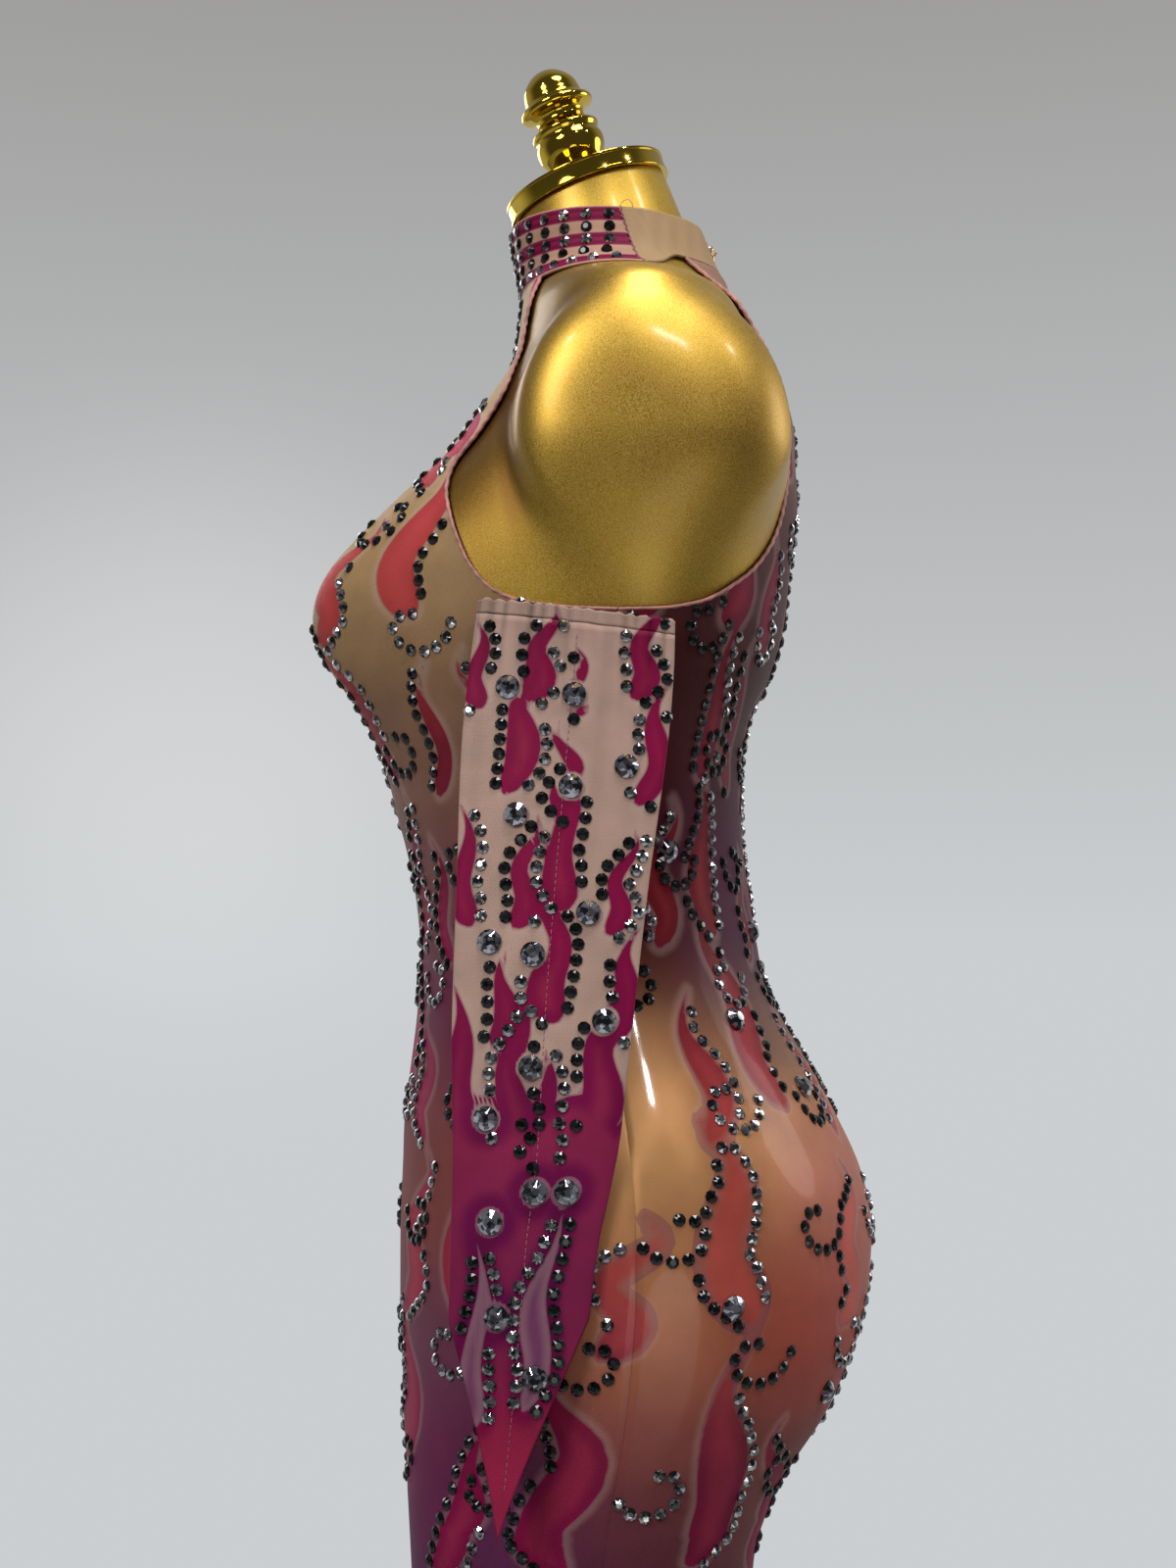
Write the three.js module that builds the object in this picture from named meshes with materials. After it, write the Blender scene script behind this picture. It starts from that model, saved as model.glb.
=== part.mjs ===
// A rhinestone jumpsuit on a gold dress form with a twin-pole stand.
// Millimetres, +Z up. The front faces -Y and the wearer's left is +X.
// The origin is the centre of the stand's underside.
import * as THREE from "three";
import { mergeVertices } from "three/addons/utils/BufferGeometryUtils.js";

// Driving dimensions
const waistHeight = 1130;
const formInset = 1.6; // the form lies this far inside the body's sections
const clothGap = 0.6; // and the inside of the cloth this far outside them
const clothWall = 1.4;
const seamGap = 0.3;
const thighEnd = 705; // where the form stops inside the legs
const hemHeight = 50;
const underarm = 1270;
const collarTop = 1510;
const collarFrontFoot = 1470;
const collarBackFoot = 1484;
const collarSeam = 12; // degrees behind the side line, where band meets strap
const napeEase = 4.5; // how far the straps stand off the nape
const napeFrom = { angle: 40, low: 1440, high: 1486 }; // degrees and heights where that begins
const neckRadius = 49;
const closureGap = 5; // between the two strap ends

// The nape's hook and bar. set: the bar from the strap's end. foot: length of the bar's feet.
const nape = {
  height: 1499, hookWire: 0.6, barWire: 0.5, bend: 1.5, tail: 3, across: 9, half: 5, foot: 5, set: 2,
};

// Sections of the body. over: height over the waist. reach: half width. lobe: how far the
// centre of each half lies from the middle, which parts the thighs. front, back: the
// foremost and rearmost y. side: y of the widest point. square: 0 is an ellipse.
// lean: slope of the section's plane, down to the front.
const sectionColumns = ["over", "reach", "lobe", "front", "back", "side", "square", "lean"];
const sections = [
  [-1080, 116, 81, -36, 42, 3, 0, 0],
  [-1020, 114, 81, -34, 40, 3, 0, 0],
  [-880, 125, 82, -42, 50, 4, 0, 0],
  [-750, 137, 84, -52, 66, 6, 0, 0],
  [-690, 138, 85, -58, 64, 4, 0, 0],
  [-630, 141, 86, -65, 60, 0, 0, 0],
  [-550, 151, 88, -76, 69, 0, 0, 0],
  [-480, 160, 89.5, -84, 75, 0, 0, 0],
  [-425, 165, 90.5, -86.5, 77, 0, 0, 0],
  [-380, 169, 91, -88.5, 77.5, 0, 0, 0],
  [-356, 171, 91, -89.5, 78, 1, 0, 0],
  [-330, 173.5, 90.5, -91, 80.5, 3, 0, 0],
  [-315, 174.9, 89.4, -92, 85.5, 5, 0, 0],
  [-308, 175.5, 88.2, -92.5, 88.5, 6, 0, 0],
  [-302, 176, 86.2, -93, 91.5, 7, 0, 0],
  [-290, 177, 79, -94, 100, 9, 0, 0],
  [-267, 179, 61, -97, 119, 13, 0.02, 0],
  [-246, 180.5, 48, -98.5, 131, 16, 0.04, 0],
  [-224, 182, 37, -100.5, 140.5, 18, 0.05, 0],
  [-197, 183, 27, -101.5, 146, 20, 0.06, 0],
  [-170, 182, 19, -102, 147.5, 20, 0.06, 0],
  [-144, 178, 12, -101.5, 142, 19, 0.06, 0],
  [-117, 170, 6, -101, 130, 16, 0.07, 0],
  [-90, 158, 2, -98, 116, 12, 0.08, 0],
  [-68, 148, 0, -95.5, 103, 8, 0.08, 0],
  [-46, 139, 0, -94, 93, 4, 0.08, 0],
  [-24, 133, 0, -94, 88.5, 1, 0.08, 0],
  [0, 130, 0, -96.5, 85, 0, 0.08, 0],
  [25, 130.5, 0, -101.5, 81.5, 0, 0.09, 0],
  [47, 132, 0, -107, 80.5, 2, 0.1, 0],
  [75, 135.5, 0, -112, 81.5, 5, 0.1, 0],
  [97, 139, 0, -114, 86, 8, 0.11, 0],
  [120, 144, 0, -115, 96, 10, 0.12, 0],
  [147, 148, 0, -115, 104, 13, 0.12, 0],
  [180, 152, 0, -112.5, 108, 16, 0.13, 0],
  [211, 154, 0, -100, 112, 18, 0.14, 0],
  [237, 155, 0, -80, 111, 20, 0.15, 0],
  [257, 156, 0, -66, 110, 21, 0.15, 0],
  [288, 156, 0, -45, 100, 21, 0.14, 0],
  [305, 153, 0, -41, 91, 21, 0.1, 0],
  [317, 146, 0, -39.5, 85, 21, 0.06, 0],
  [325, 126, 0, -39, 81, 19, 0.03, 0],
  [332, 103, 0, -38.5, 77, 17, 0.02, 0],
  [340, 79, 0, -38.5, 73, 15, 0, 0],
  [348, 60, 0, -39.5, 70.5, 12, 0, 0],
  [356, 52.5, 0, -41, 65.5, 10, 0, 0],
  [370, 48.5, 0, -43, 58, 6, 0, 0.08],
  [385, 46.5, 0, -44.5, 50, 2, 0, 0.2],
  [398.4, 46, 0, -44.5, 42.1, -1.2, 0, 0.356],
];

// The bust: two soft mounds, each with its apex at this place.
const bust = { x: 75, z: 1277, rise: 44, wide: 51, above: 57, below: 55 };
// The shoulder cap: a rounded stump on each side of the form that fades into the ribs.
// inner, outer: x of its rim and of its face. fillet: how softly it leaves the body.
// round: how square its rim is. edge: how wide its rim fades.
const cap = {
  y: 31, z: 1362, halfDepth: 75, above: 86, below: 125, inner: 96, outer: 165, fillet: 8,
  round: { front: 4.5, back: 2.7 }, edge: { rim: 0.07, foot: 0.42 },
  foot: 1300, fadeFrom: 1268, fadeTo: 1362,
};

// The edge of each panel at the armhole: y of the edge at each height.
const frontEdge = [
  [1270, 12], [1271, -10], [1273, -26], [1276.5, -41], [1283, -53], [1295, -63],
  [1308, -69], [1322, -73.5], [1338, -76], [1353, -72], [1369, -60], [1388, -48],
  [1405, -42.5], [1425, -38.5], [1440, -36.5], [1455, -33.5], [1470, -29],
];
const backEdge = [
  [1270, 12], [1271, 35], [1273, 46], [1276.5, 57], [1283, 68], [1295, 82],
  [1308, 91.5], [1322, 98], [1338, 102], [1353, 104], [1369, 104.5], [1388, 103.5],
  [1405, 99.5], [1425, 91], [1440, 83], [1455, 74.5], [1470, 64], [1484, 52],
];

// The flat sleeve. centre, half: its middle and half width along Y. out: x of its middle.
const sleeveColumns = ["height", "centre", "half", "out"];
const sleeve = [
  [826, -45, 30, 189.4], [876, -40, 33, 189.8], [927, -35.5, 33.5, 190], [960, -33, 35, 189.8],
  [985, -30, 37.5, 188], [1010, -27.5, 40, 185], [1062, -25, 43.5, 177.5], [1133, -20, 47, 168],
  [1200, -14.5, 51, 158.6], [1240, -11, 51, 154], [1280, -8, 49, 151.4],
];
const sleeveTop = { height: 1269.5, slope: -0.12, band: 7 };
const sleeveHand = { tip: 826, wrist: 927 };
const sleeveHalfThick = 3;
const sleeveWall = 1.2;
const sleeveBow = { front: 6, back: 1.5 }; // how far its edges curve round the body
const gathers = { count: 6, depth: 1.3, fade: 45 };

// Cap, knob and stand
const capTilt = THREE.MathUtils.degToRad(19.6);
const neckTop = { y: -1.2, z: waistHeight + 398.4 };
const neckCap = { radius: 47.4, thick: 10.5, edge: 1 };
const knobProfile = [
  [0, 15], [2, 15], [5, 12.5], [9, 14], [14, 17], [19, 19.3], [24.5, 19.8], [29, 18.5],
  [31, 19.6], [33, 19.6], [36, 15.5], [39.5, 13.9], [42.5, 15], [45, 20.6], [48, 21.2],
  [51, 17.6], [54, 16.8], [60, 15.4], [65, 11.8], [68.6, 7], [70.3, 0],
];
const base = { radius: 172, thick: 12, edge: 3 };
const pole = { x: 84, radius: 11 };
const foot = { radius: 24, height: 22, bevel: 4 };
const plate = { radius: 38, thick: 6 };

// Large round stones. sleeveStones: across (-1 to 1 of the half width) and height.
// hipStones: degrees round the body from the side line and height.
const stone = { radius: 6, girdle: 1.2, crown: 2.6, table: 0.5, sides: 8, seat: 0.6 };
const sleeveStones = [
  { across: 0.05, height: 1226 }, { across: -0.42, height: 1166 }, { across: 0.4, height: 1118 },
  { across: -0.1, height: 1044 }, { across: 0.45, height: 986 }, { across: -0.3, height: 928 },
];
const hipStones = [
  { around: 40, height: 1065 }, { around: 57, height: 1030 },
];

const goldPaint = { color: 0xb8923a, roughness: 0.38, metalness: 0.85 };
const polishedGold = { color: 0xd8b040, roughness: 0.1, metalness: 1 };
const printedMesh = { color: 0x9c4460, roughness: 0.6, metalness: 0 };
const nudeMesh = { color: 0xcda587, roughness: 0.7, metalness: 0 };
const standSteel = { color: 0x8a7440, roughness: 0.35, metalness: 0.9 };
const smokeGlass = { color: 0x9a9aa2, roughness: 0.08, metalness: 0.6 };
const wireMetal = { color: 0xc9a86a, roughness: 0.3, metalness: 1 };

const group = new THREE.Group();

function addMesh(name, geometry, look) {
  const mesh = new THREE.Mesh(geometry, new THREE.MeshStandardMaterial(look));
  mesh.name = name;
  group.add(mesh);
  return mesh;
}

// A smooth curve through the rows of a table: its value in one column at a height.
function along(rows, key, value, height) {
  const last = rows.length - 1;
  const at = Math.min(Math.max(height, rows[0][key]), rows[last][key]);
  let i = 0;
  while (i < last - 1 && at > rows[i + 1][key]) {
    i += 1;
  }
  const slope = (j) => {
    const below = rows[Math.max(j - 1, 0)];
    const above = rows[Math.min(j + 1, last)];
    return (above[value] - below[value]) / (above[key] - below[key]);
  };
  const span = rows[i + 1][key] - rows[i][key];
  const t = (at - rows[i][key]) / span;
  const start = rows[i][value] * (1 - t) ** 2 * (1 + 2 * t);
  const end = rows[i + 1][value] * t ** 2 * (3 - 2 * t);
  return start + end + span * t * (1 - t) * (slope(i) * (1 - t) - slope(i + 1) * t);
}

function named(columns, rows) {
  return rows.map((row) => Object.fromEntries(columns.map((name, i) => [name, row[i]])));
}

const bodyRows = named(sectionColumns, sections);
const sleeveRows = named(sleeveColumns, sleeve);

function smoothStep(low, high, value) {
  return THREE.MathUtils.smoothstep(value, low, high);
}

function sectionAt(height) {
  const over = height - waistHeight;
  return Object.fromEntries(
    sectionColumns.slice(1).map((name) => [name, along(bodyRows, "over", name, over)]),
  );
}

// The angle, from the side line, where a section meets the plane x = middle.
function angleOfMiddle(section, offset, middle) {
  const share = (section.lobe - middle) / (section.reach - section.lobe + offset);
  if (share >= 1) {
    return Math.PI;
  }
  return Math.acos(-(Math.max(share, 0) ** (1 / (1 - section.square))));
}

// How far the shoulder cap stands out from the body at this place. Its rim is crisp at the
// front and round at the back, and below it runs out softly.
function capRise(x, y, height) {
  const across = (y - cap.y) / cap.halfDepth;
  const up = (height - cap.z) / (height > cap.z ? cap.above : cap.below);
  const away = Math.hypot(across, up);
  const front = smoothStep(-0.3, 1, -across / Math.max(away, 0.05));
  const round = THREE.MathUtils.lerp(cap.round.back, cap.round.front, front);
  const swell = Math.max(1 - away ** round, 0) ** (1 / round);
  const over = THREE.MathUtils.lerp(cap.inner, cap.outer, swell) - x;
  const rim = smoothStep(cap.foot, cap.z, height);
  const edge = THREE.MathUtils.lerp(cap.edge.foot, cap.edge.rim, rim);
  const gate = smoothStep(cap.fadeFrom, cap.fadeTo, height) * smoothStep(0, edge, 1 - away);
  return (gate * (over + Math.hypot(over, cap.fillet))) / 2;
}

// A point on the body, moved out by offset in its section. angle 0 is the side line,
// -90 degrees the front and 90 degrees the back. Only the form has the shoulder caps.
function bodyPoint(height, angle, offset, withCap = false) {
  const s = sectionAt(height);
  const power = 1 - s.square;
  const c = Math.cos(angle);
  const n = Math.sin(angle);
  const depth = n < 0 ? s.side - s.front : s.back - s.side;
  const half = s.reach - s.lobe + offset;
  let x = s.lobe + half * Math.sign(c) * Math.abs(c) ** power;
  let y = s.side + (depth + offset) * Math.sign(n) * Math.abs(n) ** power;
  const spread = height > bust.z ? bust.above : bust.below;
  const mound = Math.exp(-(((x - bust.x) / bust.wide) ** 2) - ((height - bust.z) / spread) ** 2);
  y -= bust.rise * mound * smoothStep(0, 0.6, -n);
  if (withCap && c > 0) {
    x += capRise(x, y, height);
  }
  return new THREE.Vector3(x, y, height + s.lean * (y - s.side));
}

// The same point, but at a true height where the section leans.
function levelPoint(height, angle, offset) {
  let ring = height;
  for (let i = 0; i < 8; i += 1) {
    ring += height - bodyPoint(ring, angle, offset).z;
  }
  return bodyPoint(ring, angle, offset);
}

// The angle between from and to at which the body's surface has this y.
function angleOfY(height, y, from, to, offset) {
  let low = from;
  let high = to;
  for (let i = 0; i < 30; i += 1) {
    const middle = (low + high) / 2;
    if (bodyPoint(height, middle, offset).y < y) {
      low = middle;
    } else {
      high = middle;
    }
  }
  return (low + high) / 2;
}

function edgeY(table, height) {
  const rows = table.map(([z, y]) => ({ z, y }));
  const i = Math.max(rows.findIndex((row) => row.z >= height), 1);
  const t = (height - rows[i - 1].z) / (rows[i].z - rows[i - 1].z);
  return THREE.MathUtils.lerp(rows[i - 1].y, rows[i].y, t);
}

// How much further the straps and the top of the back stand off the nape.
function easeAt(height, angle) {
  const from = THREE.MathUtils.degToRad(napeFrom.angle);
  const round = smoothStep(from, Math.PI / 2, Math.abs(angle));
  return angle > 0 ? napeEase * round * smoothStep(napeFrom.low, napeFrom.high, height) : 0;
}

// A closed body from grids of points: faces between the rows of a grid, in order.
function bodyOf(grids) {
  const corners = [];
  for (const grid of grids) {
    for (let r = 0; r + 1 < grid.length; r += 1) {
      for (let c = 0; c + 1 < grid[r].length; c += 1) {
        const [a, b, d, e] = [grid[r][c], grid[r][c + 1], grid[r + 1][c + 1], grid[r + 1][c]];
        corners.push(a, b, d, a, d, e);
      }
    }
  }
  return fromCorners(corners);
}

// Shared corners are merged, and faces that have shrunk to a line are dropped.
function fromCorners(corners) {
  const loose = new THREE.BufferGeometry().setFromPoints(corners);
  const merged = mergeVertices(loose, 1e-3);
  const index = Array.from(merged.index.array);
  const kept = [];
  for (let i = 0; i < index.length; i += 3) {
    const [a, b, c] = index.slice(i, i + 3);
    if (a !== b && b !== c && a !== c) {
      kept.push(a, b, c);
    }
  }
  merged.setIndex(kept);
  return outward(merged);
}

function volumeOf(geometry) {
  const p = geometry.getAttribute("position");
  const index = geometry.index.array;
  const [a, b, c] = [new THREE.Vector3(), new THREE.Vector3(), new THREE.Vector3()];
  let six = 0;
  for (let i = 0; i < index.length; i += 3) {
    a.fromBufferAttribute(p, index[i]);
    b.fromBufferAttribute(p, index[i + 1]);
    c.fromBufferAttribute(p, index[i + 2]);
    six += a.dot(b.cross(c));
  }
  return six / 6;
}

function outward(geometry) {
  if (volumeOf(geometry) < 0) {
    const index = geometry.index.array;
    for (let i = 0; i < index.length; i += 3) {
      [index[i + 1], index[i + 2]] = [index[i + 2], index[i + 1]];
    }
  }
  return geometry;
}

function mirrored(geometry) {
  return outward(geometry.clone().scale(-1, 1, 1));
}

// A cloth wall between an outer and an inner grid, closed along its four edges.
function wallOf(outer, inner) {
  const last = outer.length - 1;
  const end = outer[0].length - 1;
  return bodyOf([
    outer,
    inner.map((row) => [...row].reverse()),
    [inner[0], outer[0]],
    [outer[last], inner[last]],
    [outer.map((row) => row[0]), inner.map((row) => row[0])],
    [inner.map((row) => row[end]), outer.map((row) => row[end])],
  ]);
}

// A tube of cloth: the grids close on themselves, and both ends stay open.
function tubeOf(outer, inner) {
  const last = outer.length - 1;
  return bodyOf([
    outer,
    inner.map((row) => [...row].reverse()),
    [inner[0], outer[0]],
    [outer[last], inner[last]],
  ]);
}

function range(count, from, to) {
  return Array.from({ length: count + 1 }, (_, i) => THREE.MathUtils.lerp(from, to, i / count));
}

const outerOffset = clothGap + clothWall;
const halfSeam = seamGap / 2;

// The angles of one row of a panel, from the middle of the front or back to the side or
// armhole edge. way is -1 for the front and 1 for the back. slit is half a seam's gap.
function panelAngles(height, edgeTable, way, columns, offset, slit) {
  const s = sectionAt(height);
  const middle = angleOfMiddle(s, offset, slit);
  const first = way * (middle >= Math.PI ? Math.PI - slit / s.reach : middle);
  let final = (way * slit) / (s.reach - s.lobe);
  if (height > underarm) {
    const top = edgeTable[edgeTable.length - 1][0];
    const ends = way < 0 ? [-Math.PI / 2, 0] : [0, Math.PI / 2];
    const edge = Math.min(height, top);
    final = angleOfY(edge, edgeY(edgeTable, edge), ...ends, offset);
  }
  return range(columns, first, final);
}

function panelRow(height, edgeTable, way, columns, offset) {
  return panelAngles(height, edgeTable, way, columns, offset, halfSeam).map((angle) => {
    const point = bodyPoint(height, angle, offset + easeAt(height, angle));
    point.x = Math.max(point.x, halfSeam);
    return point;
  });
}

function panel(heights, edgeTable, way, columns) {
  const grid = (offset) => heights.map((z) => panelRow(z, edgeTable, way, columns, offset));
  return wallOf(grid(outerOffset), grid(clothGap));
}

const armholeHeights = [
  1462, 1455, 1447, 1440, 1430, 1418, 1404, 1388, 1369, 1353, 1338, 1322, 1308, 1295, 1283, 1276.5,
  1273, 1271, underarm,
];
const neckHeights = [1516, 1500, 1490, 1480];
const torsoHeights = [
  1250, 1225, 1200, 1170, 1135, 1100, 1065, 1030, 995, 960, 925, 895, 868, 848, 834, 829, 823, 818,
  808, 785, 745, thighEnd,
];
const panelColumns = 8;
const bareColumns = 10; // of the form, between the front and back edges of the armhole
const legRows = 9;
const legColumns = 7;

function bodyPanels() {
  const frontHeights = [collarFrontFoot - seamGap, ...armholeHeights, ...torsoHeights];
  const backHeights = [collarBackFoot - seamGap, 1470, ...armholeHeights, ...torsoHeights];
  const front = panel(frontHeights, frontEdge, -1, panelColumns);
  const back = panel(backHeights, backEdge, 1, panelColumns);
  addMesh("front_left", front, printedMesh);
  addMesh("front_right", mirrored(front), printedMesh);
  addMesh("back_left", back, printedMesh);
  addMesh("back_right", mirrored(back), printedMesh);
}

function legPanels() {
  const heights = range(legRows, thighEnd - seamGap, hemHeight);
  for (const [side, way, table] of [["front", -1, frontEdge], ["back", 1, backEdge]]) {
    const leg = panel(heights, table, way, legColumns);
    addMesh(`leg_${side}_left`, leg, printedMesh);
    addMesh(`leg_${side}_right`, mirrored(leg), printedMesh);
  }
}

// The stand collar. Its foot rises towards the nape, and its top is level.
function collarFoot(angle) {
  const ends = [collarSeam, napeFrom.angle].map((degrees) => THREE.MathUtils.degToRad(degrees));
  const rise = smoothStep(...ends, angle);
  return THREE.MathUtils.lerp(collarFrontFoot, collarBackFoot, rise);
}

function collarPiece(angles) {
  const grid = (offset) =>
    range(4, 0, 1).map((t) =>
      angles.map((angle) => {
        const height = THREE.MathUtils.lerp(collarTop, collarFoot(angle), t);
        return levelPoint(height, angle, offset + easeAt(napeFrom.high, angle));
      }),
    );
  return [grid(outerOffset), grid(clothGap)];
}

function collar() {
  const seam = THREE.MathUtils.degToRad(collarSeam);
  const slit = halfSeam / neckRadius;
  const [outer, inner] = collarPiece(range(12, -Math.PI / 2, seam - slit));
  const both = [outer, inner].map((grid) =>
    grid.map((row) => [
      ...row.map((p) => new THREE.Vector3(-p.x, p.y, p.z)).reverse().slice(0, -1),
      ...row,
    ]),
  );
  addMesh("collar_band", wallOf(...both), printedMesh);
  const end = Math.PI / 2 - closureGap / 2 / neckRadius;
  const strap = wallOf(...collarPiece(range(9, seam + slit, end)));
  addMesh("collar_strap_left", strap, nudeMesh);
  addMesh("collar_strap_right", mirrored(strap), nudeMesh);
}

function wireAlong(points, radius, steps) {
  const circle = new THREE.Shape();
  circle.absarc(0, 0, radius, 0, Math.PI * 2, false);
  const path = new THREE.CatmullRomCurve3(points);
  const wire = new THREE.ExtrudeGeometry(circle, {
    steps,
    curveSegments: 4,
    extrudePath: path,
  });
  wire.deleteAttribute("normal");
  wire.deleteAttribute("uv");
  return outward(mergeVertices(wire, 1e-4));
}

// The nape closure: a wire hook on the left strap round a wire bar on the right one.
function closure() {
  const { height, hookWire, barWire, bend, tail, across, half, foot } = nape;
  const strapY = (z) => levelPoint(z, Math.PI / 2, outerOffset + napeEase).y + seamGap;
  const low = strapY(height) + hookWire;
  const bar = { x: -closureGap / 2 - nape.set, y: low + bend };
  const arc = range(4, -Math.PI / 2, -Math.PI * 1.5).map(
    (turn) => new THREE.Vector3(bar.x + bend * Math.cos(turn), bar.y + bend * Math.sin(turn), height),
  );
  const hook = [
    new THREE.Vector3(across, low, height),
    new THREE.Vector3(closureGap / 2, low, height),
    ...arc,
    new THREE.Vector3(bar.x + tail, bar.y + bend, height),
  ];
  addMesh("collar_hook", wireAlong(hook, hookWire, 16), wireMetal);
  const footAt = (inwards, z) => new THREE.Vector3(bar.x - inwards, strapY(z) + hookWire, z);
  const rod = [
    footAt(foot, height - half - 1),
    footAt(1, height - half),
    new THREE.Vector3(bar.x, bar.y, height - half + 2),
    new THREE.Vector3(bar.x, bar.y, height + half - 2),
    footAt(1, height + half),
    footAt(foot, height + half + 1),
  ];
  addMesh("collar_bar", wireAlong(rod, barWire, 12), wireMetal);
}

// A point on the flat sleeve. turn 0 is its outer face, 180 degrees the face at the body.
function sleevePoint(height, turn, inset) {
  const at = (name) => along(sleeveRows, "height", name, height);
  const across = Math.sin(turn);
  const thick = sleeveHalfThick - inset;
  const y = at("centre") + (at("half") - inset) * across;
  const top = sleeveTop.height + sleeveTop.slope * (y - at("centre"));
  const fade = Math.max(0, 1 - (top - height) / gathers.fade) ** 2;
  const wave = gathers.depth * fade * (1 + Math.sin(gathers.count * Math.PI * across));
  const face = Math.max(Math.cos(turn), 0) ** 0.5;
  const flat = Math.sign(Math.cos(turn)) * Math.abs(Math.cos(turn)) ** 0.7;
  const bow = across < 0 ? sleeveBow.front : sleeveBow.back;
  const x = at("out") + thick * flat - bow * across ** 2 + wave * face;
  return new THREE.Vector3(x, y, height);
}

function sleeveTopAt(turn) {
  const half = along(sleeveRows, "height", "half", sleeveTop.height);
  return sleeveTop.height + sleeveTop.slope * half * Math.sin(turn);
}

// The cut of the hand end: a point at the outer face, straight at the wrist inside.
function sleeveEndAt(turn) {
  if (Math.cos(turn) <= 0) {
    return sleeveHand.wrist;
  }
  return THREE.MathUtils.lerp(sleeveHand.tip, sleeveHand.wrist, Math.abs(Math.sin(turn)));
}

function sleeves() {
  const turns = range(14, -Math.PI, Math.PI);
  const tube = (from, to, rows) => {
    const grid = (inset) =>
      range(rows, 0, 1).map((t) =>
        turns.map((turn) => {
          return sleevePoint(THREE.MathUtils.lerp(from(turn), to(turn), t), turn, inset);
        }),
      );
    return tubeOf(grid(0), grid(sleeveWall));
  };
  const under = (turn) => sleeveTopAt(turn) - sleeveTop.band;
  const body = tube((turn) => under(turn) - seamGap, sleeveEndAt, 10);
  const band = tube(sleeveTopAt, under, 1);
  addMesh("sleeve_left", body, printedMesh);
  addMesh("sleeve_right", mirrored(body), printedMesh);
  addMesh("sleeve_band_left", band, printedMesh);
  addMesh("sleeve_band_right", mirrored(band), printedMesh);
}

// The limbless form: a left half and its mirror image, which share the middle plane. Its
// faces are cut along the same diagonals as the inside of the cloth.
function formBody() {
  const heights = [neckTop.z, ...neckHeights, collarFrontFoot, ...armholeHeights, ...torsoHeights];
  const rows = heights.map((height) => {
    const front = panelAngles(height, frontEdge, -1, panelColumns, -formInset, 0);
    const back = panelAngles(height, backEdge, 1, panelColumns, -formInset, 0).reverse();
    const bare = range(bareColumns, front[panelColumns], back[0]).slice(1, -1);
    const ring = [...front, ...bare, ...back].map((angle) => {
      return bodyPoint(height, angle, -formInset, true);
    });
    return [...ring, ring[0]];
  });
  const corners = [];
  const addFace = (...face) => {
    if (face.some((point) => Math.abs(point.x) > 1e-6)) {
      const other = face.map((point) => new THREE.Vector3(-point.x, point.y, point.z));
      corners.push(...face, ...other.reverse());
    }
  };
  for (let r = 0; r + 1 < rows.length; r += 1) {
    for (let c = 0; c + 1 < rows[r].length; c += 1) {
      const [a, b, d, e] = [rows[r][c], rows[r][c + 1], rows[r + 1][c + 1], rows[r + 1][c]];
      if (c < panelColumns) {
        addFace(a, b, e);
        addFace(b, d, e);
      } else {
        addFace(a, b, d);
        addFace(a, d, e);
      }
    }
  }
  const top = rows[0];
  const foot = rows[rows.length - 1];
  for (let c = 1; c + 2 < top.length; c += 1) {
    addFace(top[0], top[c + 1], top[c]);
    addFace(foot[0], foot[c], foot[c + 1]);
  }
  addMesh("form_body", fromCorners(corners), goldPaint);
}

// A turned piece with its axis on +Z. profile: height and radius, from the foot up.
function turned(profile, segments) {
  const points = profile.map(([height, radius]) => new THREE.Vector2(radius, height));
  const lathe = new THREE.LatheGeometry(points, segments).rotateX(Math.PI / 2);
  lathe.deleteAttribute("normal");
  lathe.deleteAttribute("uv");
  const corners = [];
  const p = lathe.getAttribute("position");
  for (const i of lathe.index.array) {
    corners.push(new THREE.Vector3().fromBufferAttribute(p, i));
  }
  return fromCorners(corners);
}

function disc(radius, thick, edge, segments) {
  return turned(
    [
      [0, 0], [0, radius - edge], [edge, radius],
      [thick - edge, radius], [thick, radius - edge], [thick, 0],
    ],
    segments,
  );
}

function headPieces() {
  const axis = new THREE.Vector3(0, -Math.sin(capTilt), Math.cos(capTilt));
  const seat = new THREE.Vector3(0, neckTop.y, neckTop.z);
  const place = (mesh, along) => {
    mesh.position.copy(seat).addScaledVector(axis, along);
    mesh.rotation.x = capTilt;
  };
  const lid = disc(neckCap.radius, neckCap.thick, neckCap.edge, 32);
  place(addMesh("neck_cap", lid, polishedGold), seamGap);
  const knob = addMesh("neck_finial", turned([[0, 0], ...knobProfile], 16), polishedGold);
  place(knob, neckCap.thick + 2 * seamGap);
}

function stand() {
  addMesh("stand_base", disc(base.radius, base.thick, base.edge, 32), standSteel);
  const plateFoot = thighEnd - seamGap - plate.thick;
  const poleFoot = base.thick + seamGap;
  for (const [side, sign] of [["left", 1], ["right", -1]]) {
    const place = (mesh, height) => mesh.position.set(sign * pole.x, 0, height);
    const inner = pole.radius + seamGap;
    const ring = [
      [0, inner], [0, foot.radius], [foot.height - foot.bevel, foot.radius - foot.bevel],
      [foot.height, inner + foot.bevel], [foot.height, inner], [0, inner],
    ];
    place(addMesh(`stand_foot_${side}`, turned(ring, 16), standSteel), poleFoot);
    const long = plateFoot - seamGap - poleFoot;
    const rod = disc(pole.radius, long, 0.8, 12);
    place(addMesh(`stand_pole_${side}`, rod, standSteel), poleFoot);
    const top = disc(plate.radius, plate.thick, 1, 20);
    place(addMesh(`stand_plate_${side}`, top, standSteel), plateFoot);
  }
}

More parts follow.
